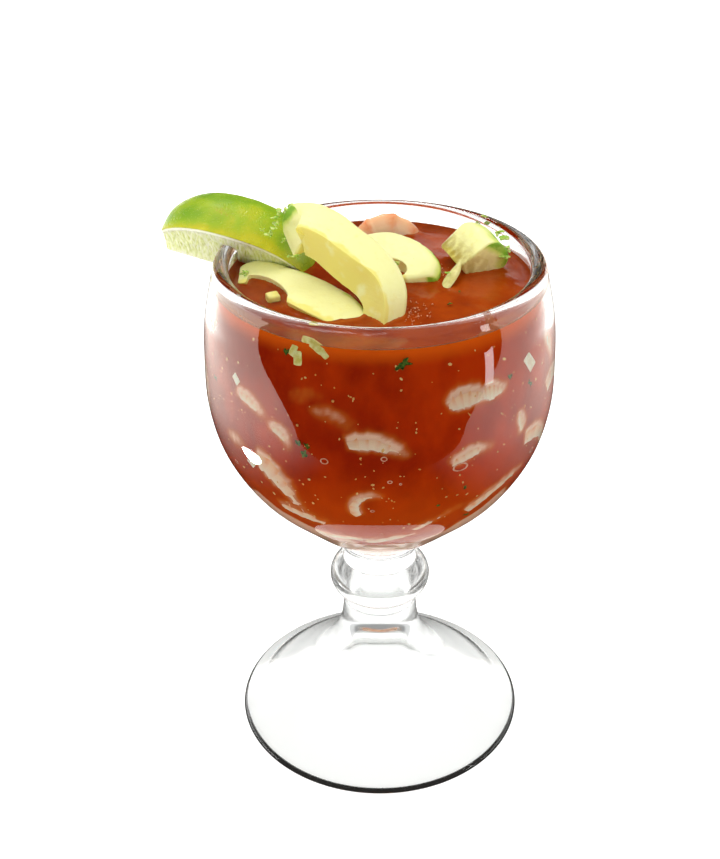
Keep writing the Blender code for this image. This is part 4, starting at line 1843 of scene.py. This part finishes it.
@dataclass(frozen=True)
class Sauce:
    """Thick sauce that fills the bowl, wets the glass and climbs what stands in it."""

    level: float = 164.0
    mound: float = 0.8
    rise: float = 1.3
    shore: float = 3.0
    into_wall: float = 0.3
    climb: float = 0.75
    climb_reach: float = 1.1
    halo: float = 0.52
    halo_reach: float = 1.6
    # painted light on the open top next to the glass, where light comes in through the wall: its
    # share, and its reach in millimetres
    painted_shore_light: float = 0.46
    painted_shore_light_reach: float = 2.6
    settled: float = 98.5
    settled_rise: float = 36.0
    settled_most: float = 14.0
    settled_ripple: float = 4.0
    settled_fade: float = 4.0
    settled_shows: float = 0.90
    cover: float = 1.25
    cover_lift: float = 0.9
    top_steps: int = 44
    curve_steps: int = 8
    steps: int = 288
    smears: Places = ((100.0, 24.0, 3.6, 1.0), (40.0, 4.0, 3.4, 0.0), (-60.0, 16.0, 1.6, 1.0))

    def profile(self, goblet: Goblet) -> list[Vector]:
        """From the middle of the top, out and up the shore, and down just inside the wall.

        Args:
            goblet: the goblet that it fills.

        Returns:
            (radius, height) points.
        """
        top = self.level + self.rise
        edge = goblet.inside_radius(top) + self.into_wall
        flat = edge - self.into_wall - self.shore
        points = [Vector((0.0, self.level + self.mound))]
        for k in range(1, self.top_steps + 1):
            share = k / self.top_steps
            points.append(Vector((flat * share, self.level + self.mound * (1 - share**2))))
        curved = [k / self.curve_steps for k in range(1, self.curve_steps + 1)]
        for share in curved:
            points.append(Vector((flat + (edge - flat) * share, self.level + self.rise * share**2)))
        height = top - 0.7
        bottom = goblet.bowl_inside[0][1]
        while height > bottom + 4.5:
            points.append(Vector((goblet.inside_radius(height) + self.into_wall, height)))
            height -= 0.85 if height > 110 else 0.6
        last = points[-1]
        for share in curved:
            radius = last.x * (1 - share)
            points.append(Vector((radius, self.floor(goblet, radius) - self.into_wall)))
        return points

    def floor(self, goblet: Goblet, radius: float) -> float:
        """The bowl's inner height at a radius near its bottom.

        Args:
            goblet: the goblet.
            radius: the radius.

        Returns:
            The height.
        """
        wall = smooth_curve(goblet.bowl_inside, 12)
        for low, high in zip(wall, wall[1:]):
            if low.x <= radius <= high.x:
                return low.y + (high.y - low.y) * (radius - low.x) / max(high.x - low.x, 1e-6)
        return wall[0].y

    def build(
        self,
        bench: Bench,
        goblet: Goblet,
        coats: Sequence[Material],
        standing: BVHTree,
        sunk: BVHTree,
    ) -> Piece:
        """Spins the sauce, then raises it round the garnish and rates what shows through it, with
        painted light next to the glass on its open top.

        Args:
            bench: where it is laid.
            goblet: the goblet that it fills.
            coats: the open surface's material and the side's.
            standing: what stands in the open sauce.
            sunk: the pale pieces under it.

        Returns:
            The piece.
        """
        piece = spun("tomato_sauce", self.profile(goblet), self.steps)
        shows = []
        edge = goblet.inside_radius(self.level)
        lift = Vector((0.0, 0.0, self.cover_lift))
        for vert in piece.data.vertices:
            radius = math.hypot(vert.co.x, vert.co.y)
            open_top = vert.co.z > self.level - 0.2 and radius < edge + 0.05
            if open_top:
                gap = self.distance(standing, vert.co)
                inland = min(1.0, max(0.0, (edge - radius) / 4.0))
                ripple = 0.22 * wobble(vert.co, 8.0, 1.0) + 0.07 * wobble(vert.co, 2.6, 5.0)
                vert.co.z += inland * ripple + self.climb * math.exp(-gap / self.climb_reach)
                # painted light: the open top is lit up next to the glass, where light comes in
                # through the wall
                inshore = max(0.0, edge - radius) / self.painted_shore_light_reach
                halo = self.halo * math.exp(-gap / self.halo_reach)
                shows.append(max(halo, self.painted_shore_light * math.exp(-inshore)))
            else:
                gap = self.distance(sunk, vert.co - lift)
                patchy = 1.0 + 0.35 * wobble(vert.co, 3.0, 7.0)
                sideways = 1.0 + vert.co.y / max(radius, 1.0)
                bed = self.settled + min(self.settled_most, self.settled_rise * sideways)
                bed += self.settled_ripple * wobble(vert.co, 9.0, 3.0)
                under = max(0.0, min(1.0, (bed - vert.co.z) / self.settled_fade))
                covered = min(1.0, math.exp(-gap / (self.cover * patchy)))
                shows.append(max(under**1.5 * self.settled_shows, covered))
        rated(piece, "shows", shows)
        for face in piece.data.polygons:
            centre = face.center
            inside = math.hypot(centre.x, centre.y) < edge - 0.2
            face.material_index = 0 if centre.z > self.level - 1.0 and inside else 1
        smoothed(piece, 55.0)
        return bench.laid(piece, "sauce", *coats, stands_for="sauce")

    def distance(self, tree: BVHTree, point: Vector) -> float:
        """How far a point is from a tree's nearest face, 99 if nothing is near."""
        found = tree.find_nearest(point, 12.0)
        return found[3] if found[3] is not None else 99.0

    def film(self, goblet: Goblet) -> Piece:
        """The thin smear of sauce on the glass above the surface, highest where it was poured.

        Args:
            goblet: the goblet whose wall it wets.

        Returns:
            The piece, not yet laid.
        """
        steps, rows, depth = 240, 6, 0.12
        rings = []
        for k in range(steps):
            angle = 360.0 * k / steps
            signed = angle - 360.0 if angle > 180.0 else angle
            turn = math.radians(angle)
            rough = 0.6 + 0.5 * noise.noise(Vector((math.cos(turn), math.sin(turn), 0.3)) * 4.0)
            tall = 0.7 * rough
            for middle, wide, more, ragged in self.smears:
                swell = more * math.exp(-(((signed - middle) / wide) ** 2))
                tall += swell * (rough if ragged else 1.0)
            low = self.level + 0.4
            ring = []
            for row in range(rows + 1):
                height = low + (tall + 0.6) * row / rows
                ring.append(goblet.wall_frame(signed, height, -0.02).to_translation())
            for row in range(rows, -1, -1):
                height = low + (tall + 0.6) * row / rows
                thick = depth * (1.0 if row < rows else 0.4)
                ring.append(goblet.wall_frame(signed, height, thick).to_translation())
            rings.append(ring)
        piece, _ = gridded("sauce_film", rings, round_again=True)
        outwards(piece)
        smoothed(piece, 60.0)
        return piece


# --- The studio -----------------------------------------------


def glowing(
    name: str, strength: float = 1.0, spares_food: bool = False
) -> tuple[Material, bpy.types.Node]:
    """A material that only glows.

    Args:
        name: its name.
        strength: how bright it is.
        spares_food: whether light on its way from the food passes through it, so that it
            darkens what the glass mirrors and bends, and takes no light off the food.

    Returns:
        The material and its emission node.
    """
    material = bpy.data.materials.new(name)
    material.use_nodes = True
    tree = material.node_tree
    tree.nodes.remove(tree.nodes["Principled BSDF"])
    glow = add_node(
        tree, "ShaderNodeEmission", {"Color": linear("#FFFFFF"), "Strength": strength}
    )
    shader = glow
    if spares_food:
        depth = add_node(tree, "ShaderNodeLightPath").outputs["Diffuse Depth"]
        lit = add_node(tree, "ShaderNodeMath", {0: depth, 1: 0.5}, operation="GREATER_THAN")
        clear = add_node(tree, "ShaderNodeBsdfTransparent")
        shader = add_node(
            tree, "ShaderNodeMixShader",
            {"Fac": lit.outputs[0], 1: glow.outputs[0], 2: clear.outputs[0]},
        )
    tree.links.new(shader.outputs[0], tree.nodes["Material Output"].inputs["Surface"])
    return material, glow


class Seen(Enum):
    """Which rays meet a part of the studio, beside the camera's own, which never do."""

    REFLECTED = (True, False)
    THROUGH = (False, True)


def unseen(piece: Piece, seen: Seen) -> None:
    """Hides a part of the studio from the camera, and leaves it to the glass.

    Args:
        piece: the part.
        seen: the rays that still meet it.
    """
    piece.visible_camera = False
    piece.visible_shadow = False
    piece.visible_diffuse = False
    piece.visible_volume_scatter = False
    piece.visible_glossy, piece.visible_transmission = seen.value


@dataclass(frozen=True)
class Card:
    """A plain glowing panel of the studio, in metres."""

    name: str
    size: tuple[float, float]
    centre: tuple[float, float, float]
    turn: tuple[float, float, float]
    glow: float
    seen: Seen = Seen.REFLECTED
    oval: bool = False

    def build(self) -> None:
        """Sets the card up."""
        deselect()
        if self.oval:
            bpy.ops.mesh.primitive_circle_add(vertices=48, radius=0.5, fill_type="NGON")
        else:
            bpy.ops.mesh.primitive_plane_add(size=1.0)
        piece = taken(self.name)
        moved(piece, lambda p: Vector((p.x * self.size[0], p.y * self.size[1], 0.0)))
        piece.rotation_euler = [math.radians(t) for t in self.turn]
        piece.location = self.centre
        spares_food = self.seen is not Seen.REFLECTED
        piece.data.materials.append(glowing(self.name, self.glow, spares_food)[0])
        unseen(piece, self.seen)


@dataclass(frozen=True)
class DarkRoom:
    """The unlit room above and in front, which the glass mirrors and bends."""

    name: str
    seen: Seen
    low_glow: float = 0.02
    high_glow: float = 0.02
    radius: float = 3.5
    light_gap: float = 27.0
    front: float = 84.0
    back: float = 180.0
    table_gap: float = -1.0

    def build(self) -> None:
        """Makes a dome that is open low down, behind and beside, and darker the higher it is."""
        deselect()
        bpy.ops.mesh.primitive_uv_sphere_add(segments=120, ring_count=60, radius=self.radius)
        dome = taken(self.name)
        with editing(dome, everything=False) as mesh:
            for vert in mesh.verts:
                height = math.degrees(math.asin(max(-1.0, min(1.0, vert.co.z / self.radius))))
                around = math.degrees(math.atan2(vert.co.x, -vert.co.y))
                low = height < self.light_gap and self.front < abs(around) <= self.back
                vert.select = low or height < self.table_gap
            bmesh.update_edit_mesh(dome.data)
            bpy.ops.mesh.delete(type="VERT")
        material, glow = glowing(self.name, spares_food=True)
        tree = material.node_tree
        place = add_node(tree, "ShaderNodeTexCoord").outputs["Object"]
        height = add_node(tree, "ShaderNodeSeparateXYZ", {"Vector": place}).outputs["Z"]
        fade = add_node(
            tree, "ShaderNodeMapRange",
            {"Value": height, "From Min": 0.0, "From Max": 0.5 * self.radius,
             "To Min": self.low_glow, "To Max": self.high_glow},
        )
        tree.links.new(fade.outputs[0], glow.inputs["Strength"])
        dome.data.materials.append(material)
        unseen(dome, self.seen)


@dataclass(frozen=True)
class BrightTable:
    """The lit table as the glass mirrors it: dim under the bowl, bright to both sides."""

    edge: float = -0.20
    reach: float = 6.0
    dim: float = 0.02
    bright: float = 2.6
    sides: tuple[float, float] = (1.25, 0.80)
    dim_half: float = 0.09
    bright_half: float = 0.34

    def build(self) -> None:
        """Lays the glowing sheet on the table, from its front edge back."""
        deselect()
        bpy.ops.mesh.primitive_plane_add(size=1.0)
        sheet = taken("bright_table")
        moved(sheet, lambda p: Vector((
            p.x * 2 * self.reach, self.edge + (p.y + 0.5) * self.reach, 0.0004
        )))
        material, glow = glowing("bright_table")
        glow.inputs["Color"].default_value = linear("#FFF7EC")
        tree = material.node_tree
        place = add_node(tree, "ShaderNodeTexCoord").outputs["Object"]
        across = add_node(tree, "ShaderNodeSeparateXYZ", {"Vector": place}).outputs["X"]
        away = add_node(tree, "ShaderNodeMath", {0: across}, operation="ABSOLUTE").outputs[0]
        rise = add_node(
            tree, "ShaderNodeMapRange",
            {"Value": away, "From Min": self.dim_half, "From Max": self.bright_half,
             "To Min": self.dim, "To Max": self.bright},
            interpolation_type="SMOOTHSTEP",
        )
        left, right = self.sides
        side = add_node(
            tree, "ShaderNodeMapRange",
            {"Value": across, "From Min": -0.2, "From Max": 0.2, "To Min": left, "To Max": right},
        )
        strength = add_node(
            tree, "ShaderNodeMath", {0: rise.outputs[0], 1: side.outputs[0]}, operation="MULTIPLY"
        )
        tree.links.new(strength.outputs[0], glow.inputs["Strength"])
        sheet.data.materials.append(material)
        unseen(sheet, Seen.REFLECTED)


@dataclass(frozen=True)
class Studio:
    """A white table under soft light in a dark room, and the camera."""

    table_edge: float = -0.20
    camera_place: tuple[float, float, float] = (0.0, -0.3718, 0.3317)
    camera_pitch: float = 30.52
    lens: float = 56.45
    sensor: float = 36.0
    shift: float = -0.02305
    sky: float = 0.8
    table_glow: float = 0.75

    def camera(self, bench: Bench) -> None:
        """The camera.

        Args:
            bench: gives the goblet's axis, which the view is centred on.
        """
        data = bpy.data.cameras.new("view")
        data.sensor_fit = "VERTICAL"
        data.sensor_height = self.sensor
        data.lens = self.lens
        data.shift_x = self.shift
        data.clip_start = 0.01
        camera = bpy.data.objects.new("view", data)
        camera.location = bench.axis + Vector(self.camera_place)
        camera.rotation_euler = (math.radians(90.0 - self.camera_pitch), 0.0, 0.0)
        bpy.context.scene.collection.objects.link(camera)
        bpy.context.scene.camera = camera

    def floor(self) -> None:
        """A white table top that glows a little, so that shadows on it stay faint."""
        deselect()
        bpy.ops.mesh.primitive_plane_add(size=12.0, location=(0.0, 0.0, -0.0002))
        table = taken("table")
        coat = Coat("white_table", Roughness=0.7, Specular_IOR_Level=0.2)
        cloud = coat.grain(300.0, 2.0)
        coat.coloured(coat.ramp(cloud, (0.3, "#E4E4E2"), (0.7, "#ECECEA")))
        coat.shader.inputs["Emission Color"].default_value = linear("#FFFFFF")
        coat.shader.inputs["Emission Strength"].default_value = self.table_glow
        table.data.materials.append(coat.material)

    def light(self) -> None:
        """Soft daylight all round, with one large lamp above and behind."""
        world = bpy.data.worlds.new("daylight")
        world.use_nodes = True
        background = world.node_tree.nodes["Background"]
        background.inputs["Color"].default_value = linear("#FFFFFF")
        background.inputs["Strength"].default_value = self.sky
        bpy.context.scene.world = world
        lamps = (
            ("lamp_above", (-0.25, 0.35, 0.95), (-18.0, -14.0, 0.0), 0.9, 5.0),
            ("lamp_front", (0.5, -0.9, 0.8), (50.0, 0.0, 30.0), 0.6, 1.5),
        )
        for name, place, turn, size, power in lamps:
            data = bpy.data.lights.new(name, "AREA")
            data.shape = "SQUARE"
            data.size = size
            data.energy = power
            lamp = bpy.data.objects.new(name, data)
            lamp.location = place
            lamp.rotation_euler = [math.radians(t) for t in turn]
            lamp.visible_glossy = False
            lamp.visible_transmission = False
            bpy.context.scene.collection.objects.link(lamp)

    def cards(self) -> Iterator[Card]:
        """Panels that only show in reflections and, some, through the glass.

        Yields:
            Each card.
        """
        front = (0.0, self.table_edge - 2.0, 0.0004)
        yield Card("front_mirrored", (8.0, 4.0), front, (0, 0, 0), 0.02)
        yield Card("front_seen_through", (8.0, 4.0), front, (0, 0, 0), 0.62, Seen.THROUGH)
        yield Card("bright_left", (3.0, 0.5), (-1.6, 1.2, 0.25), (90, 0, 90), 3.2)
        yield Card("bright_right", (3.0, 0.5), (1.6, 1.2, 0.25), (90, 0, -90), 1.9)
        oval = (-0.171, -0.002, 0.002)
        yield Card("lamp_oval", (0.034, 0.056), oval, (0, 0, 15), 22.0, oval=True)
        yield Card("lamp_streak", (0.042, 0.085), (0.362, -0.154, 0.078), (90, 0, 71.5), 7.0)
        yield Card("window_high", (0.26, 0.12), (-0.15, 0.75, 1.0), (-35, 0, 0), 9.0)
        yield Card("window_left", (0.12, 0.3), (-0.9, -0.2, 0.9), (0, 45, 0), 7.0)
        yield Card("window_right", (0.10, 0.3), (0.9, -0.3, 0.7), (0, -50, 0), 6.0)

    def build(self, bench: Bench) -> None:
        """Sets up the camera, the table, the light and the cards.

        Args:
            bench: gives the goblet's axis.
        """
        scene = bpy.context.scene
        scene.view_settings.view_transform = "Standard"
        # light that is caught in the solid stem needs many bounces to come out again
        scene.cycles.max_bounces = 24
        scene.cycles.glossy_bounces = 16
        scene.cycles.transmission_bounces = 16
        self.camera(bench)
        self.floor()
        self.light()
        DarkRoom("dark_room_mirrored", Seen.REFLECTED, back=140.0).build()
        DarkRoom("dark_room_seen_through", Seen.THROUGH, low_glow=0.75, high_glow=0.35).build()
        BrightTable(edge=self.table_edge).build()
        for card in self.cards():
            card.build()


# --- Everything in order --------------------------------------


def surfaces(pieces: Sequence[Piece]) -> BVHTree:
    """One search tree over the faces of pieces.

    Args:
        pieces: pieces that aren't laid yet, in millimetres.

    Returns:
        The tree.
    """
    points, faces = [], []
    for piece in pieces:
        start = len(points)
        points += [v.co.copy() for v in piece.data.vertices]
        faces += [[start + v for v in f.vertices] for f in piece.data.polygons]
    return BVHTree.FromPolygons(points, faces)


def in_millimetres(piece: Piece, bench: Bench) -> Piece:
    """A scratch copy of a laid piece, back in millimetres from the goblet's axis.

    Args:
        piece: the laid piece.
        bench: the bench that it was laid on.

    Returns:
        The copy.
    """
    copy = piece.copy()
    copy.data = piece.data.copy()
    copy.data.transform(Matrix.Scale(1 / MM, 4) @ Matrix.Translation(-bench.axis))
    return copy


# each small food by its piece: its material's name, light and dark patches, patch size, roughness
SMALL_FOODS = {
    # white onion, cut with a knife and soaked: a cloudy cream, a little see-through
    "onion_dice": PlainFood("diced_onion", "#FBF4E2", "#E9DCC0", 1.5, 0.6, specular=0.1),
    # avocado flesh under sauce and glass: soft yellow, and dull, since the glass has the gloss
    "avocado_dice": PlainFood("avocado_dice", "#F4EDA6", "#D9C766", 1.6, 0.6, specular=0.1),
    # torn fresh coriander: dark green with lighter veins
    "herb_leaves": PlainFood(
        "herb_leaf", "#5C7A22", "#24420E", 0.8, 0.5, specular=0.1, scatter=0.0
    ),
    # ground spice and tomato seed: cream and orange points
    "spice_seeds": PlainFood(
        "spice_seed", "#F0CE8A", "#E39A4A", 3.0, 0.5, specular=0.1, scatter=0.0
    ),
    # wet bubbles on the sauce: pale orange with a bright point of light on each
    "sauce_foam": PlainFood("sauce_foam", "#EDAE86", "#D97B48", 1.0, 0.08, scatter=0.0),
    # the edge of an air bubble against glass: a light ring of painted reflection, the light that
    # the edge mirrors
    "painted_bubble_glints": PlainFood("painted_bubble_glint", "#F0BFA4", "#D98C66", 1.0, 0.2, scatter=0.0),
    # mashed avocado from next to the skin: light green and moist
    "avocado_crumbs": PlainFood("avocado_crumb", "#D6E684", "#93C23E", 1.3, 0.25),
    # sauce that has run down the glass and left a thin, half clear layer
    "sauce_film": PlainFood(
        "sauce_film", "#E58E5A", "#D9733C", 4.0, 0.15, alpha=0.5, scatter=0.0
    ),
}


def main() -> None:
    """Builds the cocktail and its studio."""
    logging.basicConfig(level=logging.INFO, format="%(name)s %(message)s")
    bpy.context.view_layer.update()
    bench = Bench()
    goblet = Goblet()
    flesh = AvocadoFlesh().material()
    prawn_open = CookedPrawn().material("prawn_in_the_open", gloss=True)
    prawn_sunk = CookedPrawn().material("prawn_under_glass", gloss=False)

    Studio().build(bench)
    goblet.build(bench, PressedGlass().material())
    LimeWedge().build(bench, goblet, LimeRind().material(), LimePulp().material())

    slices = [piece.build(bench, flesh) for piece in SLICES]
    tails = []
    for node, tail in SURFACE_PRAWNS.items():
        tails.append(bench.laid(tail.build(), "prawn", prawn_open, stands_for=node))
    standing = [in_millimetres(piece, bench) for piece in slices + tails]

    sunk = [prawn.tail(k, goblet) for k, prawn in enumerate(SUNK_PRAWNS)]
    sunk_tree = surfaces(sunk)
    sauce_finish = TomatoSauce()
    sauce = Sauce()
    coats = (sauce_finish.open_surface(sauce.level), sauce_finish.under_glass(sauce.level))
    sauce.build(bench, goblet, coats, surfaces(standing), sunk_tree)
    for piece in standing:
        bpy.data.objects.remove(piece)
    bench.laid(joined("sunk_prawns", sunk), "prawn", prawn_sunk)

    materials = {name: food.material() for name, food in SMALL_FOODS.items()}
    Garnish().build(bench, goblet, materials)
    SurfaceBits().build(bench, flesh)
    bench.laid(sauce.film(goblet), "sauce", materials["sauce_film"])
    LOG.info("in all: %d triangles", bench.count)


if __name__ == "__main__":
    main()
